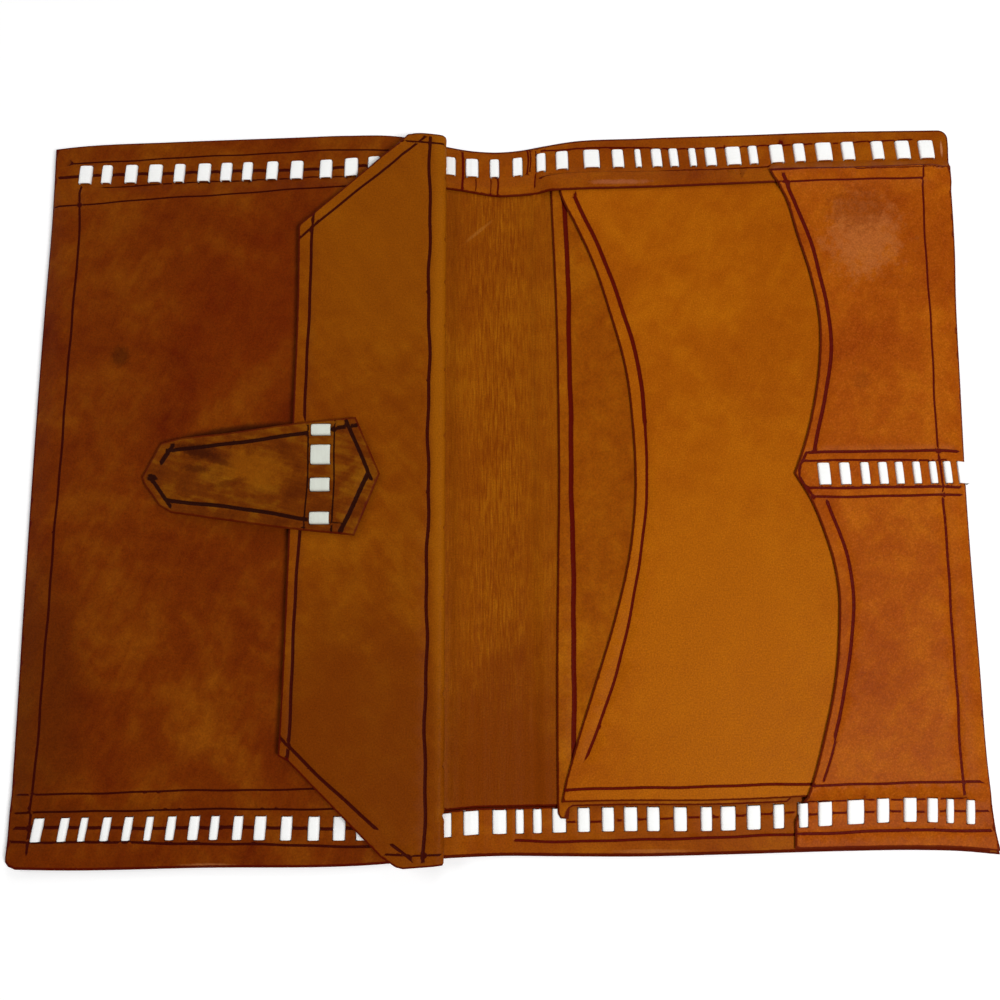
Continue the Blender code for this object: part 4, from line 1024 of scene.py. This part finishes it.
def left_side(inset, y_top, y_low):
    """The wallet's left edge from top to bottom, with its clipped lower corner."""
    ys = np.linspace(y_top, y_low + CORNER_CUT, SIDE_POINTS)
    edge = np.column_stack((LEFT_EDGE(ys) + inset, ys))
    foot_x = LEFT_EDGE(y_low) + inset
    corner = [(foot_x + 0.3, y_low + 2.2), (foot_x + 1.3, y_low + 0.9), (foot_x + CORNER_CUT, y_low)]
    return np.vstack((edge, corner))


def right_side(inset, y_low, y_top, lower_inset):
    """The wallet's right edge from bottom to top, with its rounded upper corner."""
    ys = np.linspace(y_low, y_top - CORNER_CUT, SIDE_POINTS)
    edge = np.column_stack((RIGHT_EDGE(ys) - inset - lower_inset * ease(105.5, 103.0, ys), ys))
    x = edge[-1, 0]
    turn = np.linspace(0.15, 1.45, 6)
    corner = np.column_stack((x - 2.8 * (1 - np.cos(turn)), y_top - 3.0 + 3.0 * np.sin(turn)))
    return np.vstack((edge, corner, [(x - 3.0, y_top)]))


def between(low, high, x0, x1):
    """The outline between a low and a high curve, cut straight at both ends."""
    return joined(edge_run(low, x0, x1), side_run(x1, low(x1), high(x1)),
                  edge_run(high, x1, x0), side_run(x0, high(x0), low(x0)))


def from_left_side(low, high, x1, inset=0.0):
    """The outline between two curves from the wallet's left edge to a straight cut."""
    side = left_side(inset, high(LEFT_CORNER_X), low(LEFT_CORNER_X))
    return joined(edge_run(low, side[-1, 0], x1), side_run(x1, low(x1), high(x1)),
                  edge_run(high, x1, side[0, 0]), side)


def to_right_side(low, high, x0, low_x, inset=0.0, lower_inset=0.0):
    """The outline between two curves from a straight cut to the wallet's right edge."""
    side = right_side(inset, low(low_x), high(RIGHT_CORNER_X), lower_inset)
    return joined(edge_run(low, x0, side[0, 0]), side,
                  edge_run(high, side[-1, 0], x0), side_run(x0, high(x0), low(x0)))


def long_row_slits(x0, x1):
    """The slits of both long rows between two x places."""
    return slits_at(*TOP_LACING, x0, x1) + slits_at(*BOTTOM_LACING, x0, x1)


def cover_outline(part):
    """The outline of one part of the cover."""
    if part.label == "left":
        return from_left_side(BOTTOM_EDGE, TOP_EDGE, part.x1)
    if part.label == "right":
        return to_right_side(BOTTOM_EDGE, TOP_EDGE, part.x0, RIGHT_CORNER_X)
    return between(BOTTOM_EDGE, TOP_EDGE, part.x0, part.x1)


OUTSIDE_LINES = {
    "left": tool_lines(([(-143, 98.5), (-80, 99.6), (-20, 99)], 0.7),
                       ([(-143, -99.5), (-80, -99.4), (-20, -99)], 0.7),
                       ([(-142.5, 103), (-141, 40), (-142.5, -40), (-143.5, -103)], 0.7)),
    "spine": [],
    "right": tool_lines(([(22, 100), (80, 100.6), (142, 101.5)], 0.7),
                        ([(22, -98), (80, -97.4), (141, -97)], 0.7),
                        ([(142.5, 105), (141, 40), (140, -40), (140.5, -101)], 0.7))}


def make_cover():
    """The outer cover, with plain border lines on its outside."""
    for part in PARTS:
        piece = sheet("cover_sheet_" + part.label, cover_outline(part), COVER_THICK, flat_at(COVER_Z),
                      COVER, 1, long_row_slits(part.x0, part.x1), outer_lines=OUTSIDE_LINES[part.label],
                      cuts=part.cuts, extra=spine_grid(part.x0, part.x1, -116, 116))
        bend_over(piece, part, "cover")


BOARD_CORNERS = {"left": [(-145, -99.5), (MOUTH_X, -99), (MOUTH_X, 99.4), (-145, 98.6)],
                 "right": [(14.2, -95.5), (143, -94.5), (143.8, 101.5), (14.2, 100.2)]}


def make_boards():
    """The stiffening boards between cover and lining."""
    for side, corners in BOARD_CORNERS.items():
        outline = joined(straight(*corners, corners[0], step=4.0))
        piece = sheet("board_" + side, outline, BOARD_THICK, flat_at(BOARD_Z), BOARD, 2)
        carried(piece, side + "_wing", "stiffener_board", "stiffener_" + side)


def lining_height(x, y):
    """The lining drops from the boards to the cover at the spine."""
    spine = np.minimum(ease(MOUTH_X + 1.5, MOUTH_X + 5.0, x), ease(13.6, 10.6, x))
    return LINING_Z + (SPINE_LINING_Z - LINING_Z) * spine + swell(x, y) + wrinkle(x, y)


def lining_top(x):
    """The lining's upper edge, tucked under the strip."""
    return np.minimum(TOP_ROW(x) + INNER_LIMIT, strip_inner_edge(x) + 2.6)


def lining_bottom(x):
    """The lining's lower edge: beside the lower strip, or tucked above it on the right."""
    return BOTTOM_ROW(x) - INNER_LIMIT + 1.9 * ease(18, 21, x) - 2.6 * ease(-22, -16, x) * ease(21, 18, x)


def make_lining():
    """The lining, which shows in the spine."""
    for part in PARTS:
        x0, x1 = max(part.x0, LINING_ENDS[0]), min(part.x1, LINING_ENDS[1])
        piece = sheet("lining_sheet_" + part.label, between(lining_bottom, lining_top, x0, x1), LINING_THICK,
                      lining_height, LINING, 3, cuts=part.cuts, extra=spine_grid(x0, x1, -98, 98))
        bend_over(piece, part, "lining")


# Folds of the upper strip in the spine: x, from and to along y, width and strength
SPINE_FOLDS = ((-10.9, 112.6, 96.2, 0.7, 0.9), (-6.6, 103.0, 96.0, 0.35, 0.7), (-1.5, 103.0, 95.4, 0.3, 0.7),
               (0.9, 103.0, 95.4, 0.6, 0.85), (11.0, 112.6, 103.5, 0.5, 0.9), (11.9, 112.0, 104.5, 0.35, 0.8))
TOP_STRIP_LINES = tool_lines(([(16, 111.6), (28, 112.2), (69, 111.5), (110, 112.3), (139, 113.2)], 0.55, 0.9),
                             ([(16, 101.6), (24, 102.6), (52, 103.2), (91, 104.3)], 0.7),
                             ([(13.8, 112.8), (13.9, 104.0), (13.4, 98.4)], 0.5, 0.8, 0.15))
BOTTOM_STRIP_LINES = tool_lines(([(4.6, -111), (18, -111.4), (60, -110.6), (88, -109.9)], 0.75),
                                ([(19, -105.8), (60, -104.7), (88, -103.4)], 0.6, 0.85))


def make_top_strip(part, x0):
    """The border strip that the lace holds along the upper edge."""
    top = shifted(TOP_EDGE, -0.6)
    lines = tool_lines(*(([(x, y0), (x + 0.3, (y0 + y1) / 2), (x - 0.1, y1)], width, strength, 0.2)
                         for x, y0, y1, width, strength in SPINE_FOLDS if part.x0 < x < part.x1))
    if part.label == "right":
        outline = to_right_side(strip_inner_edge, top, x0, 149.0, 0.2, 0.3)
        lines += TOP_STRIP_LINES
    else:
        outline = between(strip_inner_edge, top, x0, part.x1)
    piece = sheet("strip_top_" + part.label, outline, STRIP_THICK, top_strip_height, STRIP, 4,
                  slits_at(*TOP_LACING, x0, part.x1), lines, cuts=part.cuts,
                  extra=spine_grid(x0, part.x1, 94, 114))
    bend_over(piece, part, "border_strip_top")


def bottom_strip_top(x):
    """The lower strip's upper edge, which runs under the pockets on the right."""
    return BOTTOM_ROW(x) - DROP_TO + 4.4 * ease(18, 21, x)


def make_bottom_strip(part, x0):
    """The border strip that the lace holds along the lower edge."""
    x1 = min(part.x1, BOTTOM_STRIP_END)
    outline = between(shifted(BOTTOM_EDGE, 0.6), bottom_strip_top, x0, x1)
    lines = BOTTOM_STRIP_LINES if part.label == "right" else []
    piece = sheet("strip_bottom_" + part.label, outline, STRIP_THICK, flat_at(BORDER_Z, wrinkled=True),
                  STRIP, 5, slits_at(*BOTTOM_LACING, x0, part.x1), lines, cuts=part.cuts,
                  extra=spine_grid(x0, part.x1, -115, -101))
    bend_over(piece, part, "border_strip_bottom")


def make_strips():
    """Both border strips, which start at the left pocket's mouth."""
    for part in PARTS:
        x0 = max(part.x0, MOUTH_X + BUTT_GAP)
        make_top_strip(part, x0)
        make_bottom_strip(part, x0)


FRONT_LINES = tool_lines(
    ([(-141.5, 109.3), (-95, 111.4), (-48, 112.9), (-23, 112.2)], 0.5, 0.9),
    ([(-146, 104.5), (-98, 105.7), (-66, 106.1), (-40, 107.1), (-23, 107.2)], 1.0),
    ([(-130.5, 100.6), (-100, 102), (-59, 103.2), (-30, 103.6)], 0.45, 0.75),
    ([(-146.5, 93.4), (-100, 96.4), (-53, 99.1), (-30, 100)], 0.5, 0.9),
    ([(-138.6, 100.9), (-137.6, 76.5), (-138.2, 64.7), (-139, 27.3), (-140.4, -30), (-141.7, -88.9),
      (-143.2, -113.6)], 0.7),
    ([(-146, -96.6), (-91, -95.6), (-40, -95.4)], 0.55, 0.9),
    ([(-147, -101.9), (-91, -101.2), (-40, -101.4)], 0.6, 0.9),
    ([(-147, -106.2), (-113, -106.6), (-91, -106.6), (-40, -107.2)], 0.9),
    ([(-148, -110.4), (-113, -110.9), (-91, -111.3), (-33, -112.6)], 0.7))
TUCK_SLIT = np.array([(-85.9, TAB_Y - 9), (-84.5, TAB_Y - 9), (-84.5, TAB_Y + 9), (-85.9, TAB_Y + 9)])


def make_front_panel():
    """The left wing's pocket front, with its mouth under the flap's fold."""
    outline = from_left_side(shifted(BOTTOM_EDGE, 0.4), shifted(TOP_EDGE, -0.4), MOUTH_X, 0.4)
    slits = long_row_slits(LEFT_END, MOUTH_X) + [TUCK_SLIT]
    piece = sheet("front_panel", outline, FRONT_THICK, front_height, FRONT, 6, slits, FRONT_LINES)
    carried(piece, "left_wing", "front_panel_leather", "pocket_front_left")


def pocket_side(y0, y1):
    """The right edge of the pockets."""
    ys = np.linspace(y0, y1, 80)
    xs = RIGHT_EDGE(ys) - POCKET_RIGHT - 0.3 * ease(97, 102, ys) + 0.2 * ease(-98, -101, ys)
    return np.column_stack((xs, ys))


def back_pocket_height(x, y):
    """The back pocket lies on the lining, and its foot stands up a little over the strip."""
    _, bottom = rows_from(x, y)
    return BACK_POCKET_Z + swell(x, y) + lumps(x, y, 12.0, 0.08) + 0.12 * ease(-4.6, -3.0, bottom)


def back_pocket_foot(x):
    """The back pocket's lower edge."""
    return BOTTOM_ROW(x) - DROP_TO + 1.4 * ease(86.6, 87.8, x)


BACK_POCKET_FREE_EDGE = [(17.3, -101), (17.6, -72.6), (18.6, -30), (19.3, -7.7), (19.7, 30), (19.5, 59.6),
                         (18.6, 94), (18.5, 100.2)]
BACK_POCKET_CORNER = [(17.4, -103.2), (18.2, -104.6), (20.6, -104.8), (21, -101.6)]
BACK_POCKET_LINES = tool_lines(
    ([(22.3, 97), (22.7, 94.6), (23.5, 74), (23.7, 31.3), (23.5, -7.7), (23.4, -44.7), (22.5, -86)], 1.45))


def make_back_pocket():
    """The straight back pocket, whose lower corner laps over one stitch."""
    top, low = shifted(TOP_ROW, INNER_LIMIT), back_pocket_foot
    free = path(BACK_POCKET_FREE_EDGE, EDGE_STEP)
    x1 = BACK_POCKET_END
    outline = joined(free[::-1], BACK_POCKET_CORNER, edge_run(low, 22.0, x1), side_run(x1, low(x1), top(x1)),
                     edge_run(top, x1, free[-1, 0]))
    piece = sheet("back_pocket", outline, POCKET_THICK, back_pocket_height, BACK, 7, (), BACK_POCKET_LINES)
    carried(piece, "right_wing", "pocket_leather", "pocket_back")


POCKET_CURVE = [(21, 100.6), (21.6, 95.6), (26.3, 84.5), (31.3, 72.5), (37, 53.6), (41.4, 35.1), (43.3, 13.6),
                (43.4, -4.8), (41.3, -23.4), (36, -44.8), (29.1, -65.8), (23.2, -83.3), (19.2, -97),
                (18.6, -100)]
MIDDLE_POCKET_LINES = tool_lines(
    ([(26.6, 93.8), (29.1, 87.8), (34.4, 74.8), (38.6, 62.7), (45.3, 38), (47.2, 17.2)], 1.25),
    ([(47.2, 17.2), (47.2, -4.8), (44.3, -25.7), (39.3, -50.4), (31, -75.4), (26.8, -86)], 0.85),
    ([(19.6, -96.2), (54.2, -95.6), (93.7, -95)], 0.8),
    ([(20, 98.6), (40, 98.9), (80, 99)], 0.4, 0.5, 0.1))


def middle_slits():
    """The slits of the short row between the card pockets."""
    last = slit_outline(MIDDLE_LAST_START, MIDDLE_ROW_Y)
    return slits_at(*MIDDLE_LACING, MIDDLE_POCKET_END, RIGHT_END) + [last]


def make_middle_pocket():
    """The middle pocket with its long curved edge."""
    top, low = shifted(TOP_ROW, INNER_LIMIT), shifted(BOTTOM_ROW, 5.4)
    free = path(POCKET_CURVE, EDGE_STEP)
    x1 = MIDDLE_POCKET_END
    edge_y = BOTTOM_ROW(145.0) - INNER_LIMIT
    edge_x = RIGHT_EDGE(edge_y) - POCKET_RIGHT - MIDDLE_POCKET_INSET
    side = pocket_side(edge_y, top(POCKET_CORNER_X)) - (MIDDLE_POCKET_INSET, 0.0)
    outline = joined(free, edge_run(low, free[-1, 0] + 1.2, x1),
                     straight((x1 + 3.0, low(x1) + 0.9), (edge_x, edge_y)), side,
                     edge_run(top, side[-1, 0], free[0, 0]))
    piece = sheet("curved_pocket", outline, POCKET_THICK, middle_pocket_height, POCKET, 8, middle_slits(),
                  MIDDLE_POCKET_LINES)
    carried(piece, "right_wing", "pocket_leather", "pocket_middle")


PANEL_TOP = through([(88, 101.7), (92.4, 101.9), (120, 102.1), (145.6, 102.7), (151, 102.8)])
PANEL_NOTCH = (93.4, -0.2)
PANEL_UPPER_EDGE = [(90.4, 101.8), (91.2, 99.8), (94.4, 94.4), (98.6, 79), (102.3, 63.9), (104.1, 49.7),
                    (103.4, 37.1), (101, 23.3), (96.3, 7.1), PANEL_NOTCH]
PANEL_LOWER_EDGE = [PANEL_NOTCH, (98.2, -8.9), (101.7, -19), (103.9, -27.8), (105, -40.1), (104.6, -46.2),
                    (102.3, -64.3), (98.4, -79.7), (91.6, -99.5), (88.6, -105.6)]
PANEL_LINES = tool_lines(
    ([(95.1, 99.3), (98.3, 89.8), (101.3, 81.4), (103.7, 72.8), (105.4, 64.2), (106.7, 55.7), (107.4, 47.3),
      (106.4, 33.7), (104.2, 23.2), (100.1, 7.1)], 1.15),
    ([(103.2, -9.2), (106.3, -19), (108.5, -27.8), (109.3, -40.8), (105.6, -64.4), (101.2, -80.8)], 1.0),
    ([(100.9, -83), (99.2, -88.4), (97, -94)], 0.8, 0.7),
    ([(91.4, 101.6), (105, 101.8), (119, 101.9)], 0.9),
    ([(119, 101.2), (132, 101.6), (147.5, 102)], 0.4, 0.7),
    ([(93.2, 97.2), (118, 97.4), (140.3, 97.9)], 0.6),
    ([(97.5, 6.4), (120, 6.5), (139, 6.6), (144.5, 6.2)], 0.9),
    ([(96.8, 3.9), (120, 3.7), (141, 3.6)], 0.6),
    ([(96.5, -4.9), (120, -5), (144.5, -5.2)], 0.75),
    ([(98.6, -7.7), (120, -7.8), (144.5, -7.6)], 0.75),
    ([(97.4, 6), (94.8, 0.2), (99, -8)], 0.8),
    ([(92.4, -95.6), (118, -94.8), (143.5, -94.8)], 0.7),
    ([(91.4, -100.4), (118, -99.8), (140, -99.6)], 0.5, 0.75),
    ([(92, -104), (118, -103.3), (146, -103.4)], 0.6, 0.85),
    ([(88.6, -109.6), (118, -108.9), (146.5, -109)], 0.85),
    ([(141, 102.4), (139.8, 78.4), (139.8, 52.6), (138.8, 22.8), (139.2, -9)], 0.6, 0.85),
    ([(139.2, -9), (139, -46.3), (138.8, -64.7), (138.6, -92.9), (138.9, -98.4)], 0.9, 0.66))


def make_card_panel():
    """The scalloped panel that makes the two card pockets."""
    low = shifted(BOTTOM_EDGE, 1.2)
    upper, lower = path(PANEL_UPPER_EDGE, EDGE_STEP), path(PANEL_LOWER_EDGE, EDGE_STEP)
    foot = straight((88.4, -106.4), (PANEL_FOOT_X, low(PANEL_FOOT_X)))
    side = pocket_side(low(147.0), PANEL_TOP(149.5))
    outline = joined(upper, lower, foot, edge_run(low, PANEL_FOOT_X, side[0, 0]), side,
                     edge_run(PANEL_TOP, side[-1, 0], PANEL_UPPER_EDGE[0][0]))
    slits = middle_slits() + slits_at(*BOTTOM_LACING, PANEL_FOOT_X, RIGHT_END)
    piece = sheet("card_panel", outline, PANEL_THICK, panel_height, CARD, 9, slits, PANEL_LINES)
    carried(piece, "right_wing", "card_pocket_leather", "card_pockets")


def along_row(row):
    """Puts a point of a long lace on its row, with the waves of the leather."""
    def put(a, s, z):
        y = row(a)
        s = s * spread(y)
        rise = swell(a, y + s) - TOP_BULGE(a, y + s) - BOTTOM_BULGE(a, y + s)
        return a + lean(a, y) * s / SLIT_LENGTH, y + s, z + rise + wrinkle(a, y)
    return put


def along_middle(a, s, z):
    """Puts a point of the short lace between the card pockets."""
    x = a + lean(a, MIDDLE_ROW_Y) * s / SLIT_LENGTH
    return x, MIDDLE_ROW_Y + s, z - right_drop(a) + swell(a, MIDDLE_ROW_Y + s)


def across_tab(a, s, z):
    """Puts a point of the tab's lace, which runs along y."""
    x = TAB_LACE_X - s * TAB_LACE_SPREAD
    return x, TAB_Y + a, z + swell(x, TAB_Y + a)


def level(z):
    """One height all along a lace."""
    return lambda along: z


def over_bottom(x):
    """How high the lower lace lies: higher over the card panel's foot."""
    return LACE_OVER_PANEL_Z if x > PANEL_FOOT_X else LACE_OVER_Z


def make_long_laces():
    """The two long laces, cut where the cover is."""
    rows = (("top", TOP_LACING, level(LACE_OVER_Z)), ("bottom", BOTTOM_LACING, over_bottom))
    for label, (stitches, row), over in rows:
        line = lace_route(stitches, row(CREASE_MIDDLE), over, LACE_UNDER_Z)
        route = rounded_corners(line, LACE_BEND)
        for part in PARTS:
            stretch = clipped(route, part.x0, part.x1)
            piece = lace(f"lacing_{label}_{part.label}", stretch, along_row(row), 10, LACE)
            bend_over(piece, part, "lace_" + label)


def make_middle_lace():
    """The lace between the card pockets, which ends round the right edge."""
    half = LACE_THICKNESS / 2
    low, high = MIDDLE_LACE_UNDER_Z + half, MIDDLE_LACE_OVER_Z + half
    route = lace_route(MIDDLE_STITCHES, MIDDLE_ROW_Y, level(MIDDLE_LACE_OVER_Z), MIDDLE_LACE_UNDER_Z)[:-1]
    wrap_x = RIGHT_EDGE(MIDDLE_ROW_Y) + 0.5
    start = MIDDLE_LAST_START
    route += [(start, low), (start, high), (wrap_x, high), (wrap_x, low), (start + 1.2, low)]
    piece = lace("lacing_middle", rounded_corners(route, LACE_BEND * 0.7), along_middle, 11, LACE)
    carried(piece, "right_wing", "white_lace", "lace_middle")


def make_tab_lace():
    """The lace that holds the tab on the flap."""
    route = lace_route(TAB_STITCHES, TAB_Y, level(TAB_LACE_OVER_Z), TAB_LACE_UNDER_Z)
    piece = lace("lacing_tab", rounded_corners(route, LACE_BEND), across_tab, 12, TAB_LACE)
    carried(piece, "flap", "white_lace", "lace_tab")


def tab_slits():
    """The slits of the tab's lace, along x."""
    half_l, half_w = SLIT_LENGTH * TAB_LACE_SPREAD / 2, SLIT_WIDTH / 2
    x0, x1 = TAB_LACE_X - half_l, TAB_LACE_X + half_l
    found = []
    for centre, width in TAB_STITCHES:
        reach = half_span(centre, width, TAB_Y)
        for y in (TAB_Y + centre - reach, TAB_Y + centre + reach):
            found.append(np.array([(x0, y - half_w), (x1, y - half_w), (x1, y + half_w), (x0, y + half_w)]))
    return found


ROLL_RADIUS = FLAP_Z + FLAP_THICK - FLAP_AXIS_Z
ROLL_MIDDLE = ROLL_RADIUS - FLAP_THICK / 2
FLAP_END_X = FLAP_AXIS_X + pi * ROLL_MIDDLE


def roll_place(x, y, up):
    """Puts the flap's leather flat up to the fold and then round its roll."""
    level = FLAP_Z + swell(x, y) * ease(FLAP_AXIS_X, FLAP_AXIS_X - 12, x)
    angle = pi / 2 - np.maximum(x - FLAP_AXIS_X, 0.0) / ROLL_MIDDLE
    radius = ROLL_RADIUS - FLAP_THICK + up
    on_roll = x > FLAP_AXIS_X
    drawn_in = (0.75 - 0.0039 * y) * ease(FLAP_AXIS_X - 3.2, FLAP_AXIS_X, x)
    px = np.where(on_roll, FLAP_AXIS_X + radius * np.cos(angle), x) - drawn_in
    pz = np.where(on_roll, FLAP_AXIS_Z + radius * np.sin(angle), level + up)
    return np.column_stack((px, y, pz))


def flap_outline():
    """The flap laid flat: its roll's end, its sloping ends and its free edge."""
    low_end, high_end, low_corner = (FLAP_END_X, -117.4), (FLAP_END_X, 114.6), (-66.8, -85.4)
    return joined(
        straight(low_end, high_end),
        path([high_end, (-16.5, 115.4), (-20, 115.9), (-25.5, 116.3), (-28.6, 115.9)], 1.0),
        straight((-30.2, 114.3), (-63.4, 85.2)), straight((-63.9, 84.7), (-64.3, 83.6)),
        path([(-64.3, 82.6), (-64.1, 60), (-64.7, 20.3), (-65.4, -30), (-66.6, -79.8), low_corner], EDGE_STEP),
        straight(low_corner, (-63.7, -87.1), (-35.4, -115), (-31, -117.9), (-29, -118.4)),
        straight((-28.4, -118.4), low_end))


FLAP_LINES = tool_lines(
    ([(-21.1, 114.6), (-21.3, 90), (-21.4, 58), (-21.6, -1.2), (-22.1, -54.2), (-22.6, -116)],
     1.0, 1.0, 0.22, 0.25),
    ([(-59.4, 91), (-60, 70), (-60.4, 45.1), (-61, 20)], 0.9),
    ([(-61.3, -14), (-61.6, -17), (-63, -60), (-63.9, -89.5)], 0.95),
    ([(-63.6, 80.2), (-45, 96.2), (-22.8, 114.9)], 0.75),
    ([(-65.9, -80.4), (-52, -93.4), (-37.2, -106.6)], 0.95),
    ([(-32.1, -111.4), (-26.9, -115.3)], 0.9),
    ([(-31.5, 113.6), (-24, 112.8), (-16.5, 112.2)], 0.6, 0.85),
    ([(-33.8, -114.3), (-26, -114.6), (-16.9, -114.5)], 0.6, 0.85))
FLAP_LINING_CORNERS = ((-19.2, -114.4), (-19.2, 113), (-28.6, 113.4), (-62.4, 82.4), (-63.4, 20),
                       (-64.6, -83.8), (-34.6, -113.4))


def make_flap():
    """The flap over the left pocket's mouth, rolled at its fold, with its lining."""
    x0, x1, y1 = FLAP_AXIS_X - 2, FLAP_END_X, 117
    roll_grid = grid_over(np.array([(x0, -y1), (x1, -y1), (x1, y1), (x0, y1)]), *ROLL_GRID)
    piece = sheet("flap", flap_outline(), FLAP_THICK, None, FLAP, 13, tab_slits(), FLAP_LINES,
                  extra=roll_grid, place=roll_place)
    carried(piece, "flap", "flap_leather", "flap_leather")
    outline = joined(straight(*FLAP_LINING_CORNERS, FLAP_LINING_CORNERS[0]))
    piece = sheet("flap_inside", outline, LINING_THICK, flat_at(FLAP_LINING_Z), LINING, 14, tab_slits())
    carried(piece, "flap", "lining_leather", "flap_lining")


def tab_height(z_root, z_tip):
    """The tab lies on the flap and slopes down past its edge, a little crumpled."""
    def height(x, y):
        past_edge = np.clip((FLAP_EDGE_X - x) / (FLAP_EDGE_X - TAB_LEFT_END), 0, 1)
        slope = ease(FLAP_EDGE_X + 4, TAB_LEFT_END + 2, x) * 0.55 + 0.45 * past_edge
        waves = 1 + np.sin(x / 2.6 + y / 4.1) * np.cos(y / 2.3 + x / 9)
        crumple = 0.22 * ease(-70, -84, x) * ease(-110, -100, x) * waves
        return z_root + (z_tip - z_root) * slope + swell(x, y) + crumple
    return height


def tab_outline(inset):
    """The tab: a strap that widens from its blunt tip to the pointed end on the flap."""
    k = inset
    tip, shoulder_x = (TAB_LEFT_END + k, 1.0), -44.4 - k * 0.7
    upper_start, upper_end = (-106.9 + k * 0.7, 12 - k), (shoulder_x, 19 - k)
    lower_start, lower_end = (shoulder_x, -18.8 + k), (-102.6, -10.6 + k)
    return joined(straight(tip, upper_start),
                  path([upper_start, (-104.8, 12.5 - k), (-82, 15 - k), (-64, 17.2 - k), upper_end],
                       EDGE_STEP),
                  straight(upper_end, (TAB_RIGHT_END - k, 0.8), lower_start),
                  path([lower_start, (-64, -16.6 + k), (-84, -13.6 + k), lower_end], EDGE_STEP),
                  straight(lower_end, (-106.6, -8.2 + k), (TAB_LEFT_END + 1.0 + k, -1.4), tip))


TAB_LINES = tool_lines(
    ([(-104.6, 9.2), (-82, 11.4), (-59.6, 14)], 1.15), ([(-52.6, 15.2), (-44, 16.3)], 1.2),
    ([(-103.2, -6.6), (-82, -9.6), (-59.4, -13.5)], 1.15), ([(-52.4, -14.6), (-48.2, -14.9)], 0.4, 0.6),
    ([(-103, 10.9), (-106.4, 5.6)], 1.4), ([(-109.8, 0.9), (-108.6, 0.6)], 2.1),
    ([(-109.2, 0.2), (-102.8, -8.2)], 1.1),
    ([(-47.3, 18), (-43.6, 9), (-39.4, -1)], 1.1), ([(-40.3, 0.8), (-44.6, -9), (-49, -17.6)], 1.3),
    ([(-59.6, 17.6), (-59.3, 0), (-60, -16.8)], 0.45, 0.85),
    ([(-51, 17.8), (-51, 0), (-51.6, -17.4)], 0.45, 0.85))


def make_tab():
    """The laced tab as one strap, sloping down past the flap's edge, with its lining."""
    layers = (("", 0.0, TAB_THICK, tab_height(TAB_Z, TIP_Z), TAB, 15, TAB_LINES, "flap_leather"),
              ("_lining", 0.5, LINING_THICK, tab_height(TAB_LINING_Z, TIP_LINING_Z), LINING, 16, (),
               "lining_leather"))
    start, end = (((FLAP_EDGE_X + reach) * MM, 0, 0) for reach in TAB_BEND)
    for ending, inset, thickness, height, material, seed, lines, slot in layers:
        piece = sheet("tab" + ending, tab_outline(inset), thickness, height, material, seed, tab_slits(),
                      lines, grid=TAB_GRID)
        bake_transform(piece)
        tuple(start)
        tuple(end)
        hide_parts("tab_base" + ending, "tab_tongue" + ending)


def make_camera():
    """The photograph's viewpoint: nearly straight down, from a little below the wallet's middle."""
    camera = add("camera", bpy.data.cameras.new("camera"))
    camera.location = [c * MM for c in CAMERA_PLACE]
    camera.rotation_euler = [radians(a) for a in CAMERA_TILT]
    camera.data.lens = CAMERA_LENS
    camera.data.sensor_width = CAMERA_SENSOR
    camera.data.clip_start = 0.01
    bpy.context.scene.camera = camera


def softbox(name, place, size, power):
    """A square lamp that faces the wallet."""
    lamp = bpy.data.lights.new(name, "AREA")
    lamp.size = size
    lamp.energy = power
    body = add(name, lamp)
    body.location = place
    body.rotation_euler = body.location.to_track_quat("Z", "Y").to_euler()


def seen_directly(skin):
    """1 for what the camera, a reflection or glass shows, and 0 for light that falls on the wallet."""
    rays = skin.node("ShaderNodeLightPath").outputs
    seen = skin.math("MAXIMUM", rays["Is Camera Ray"], rays["Is Glossy Ray"])
    return skin.math("MAXIMUM", seen, rays["Is Transmission Ray"])


def make_floor():
    """A pale floor, as white to the camera as the backdrop once it is away from the lamps."""
    mesh = bpy.data.meshes.new("floor")
    corners = [(-1, -1), (1, -1), (1, 1), (-1, 1)]
    mesh.from_pydata([(FLOOR_REACH * x, FLOOR_REACH * y, -FLOOR_DROP) for x, y in corners], [],
                     [(0, 1, 2, 3)])
    skin = Skin(bpy.data.materials.new("floor_paper"))
    place = skin.node("ShaderNodeNewGeometry").outputs["Position"]
    middle_out = skin.vector("LENGTH", place, output="Value")
    glow = skin.math("MULTIPLY", seen_directly(skin), skin.range(middle_out, *LIT_REACH, FLOOR_GLOW, 1.0))
    mesh.materials.append(skin.surface({
        "Base Color": FLOOR_COLOUR, "Roughness": 0.9, "Specular IOR Level": 0.1,
        "Emission Color": WHITE, "Emission Strength": glow}))
    add("floor", mesh)


def make_light():
    """Even studio light and a white backdrop."""
    sky = Skin(bpy.data.worlds.new("studio"))
    background = sky.tree.nodes["Background"]
    background.inputs["Color"].default_value = WHITE
    strength = sky.math("MULTIPLY_ADD", seen_directly(sky), 1 - WORLD_LIGHT, WORLD_LIGHT)
    sky.feed(background.inputs["Strength"], strength)
    bpy.context.scene.world = sky.owner
    softbox("key", (0.46, -0.30, 0.90), 0.34, 8.2)
    softbox("fill_left", (-0.95, 0.30, 0.8), 0.6, 3.3)
    softbox("fill_top", (0.1, 0.95, 0.7), 0.6, 3.0)


make_camera()
make_floor()
make_light()
make_cover()
make_boards()
make_lining()
make_strips()
make_front_panel()
make_back_pocket()
make_middle_pocket()
make_card_panel()
make_long_laces()
make_middle_lace()
make_tab_lace()
make_flap()
make_tab()
bpy.context.scene.view_settings.view_transform = "Standard"
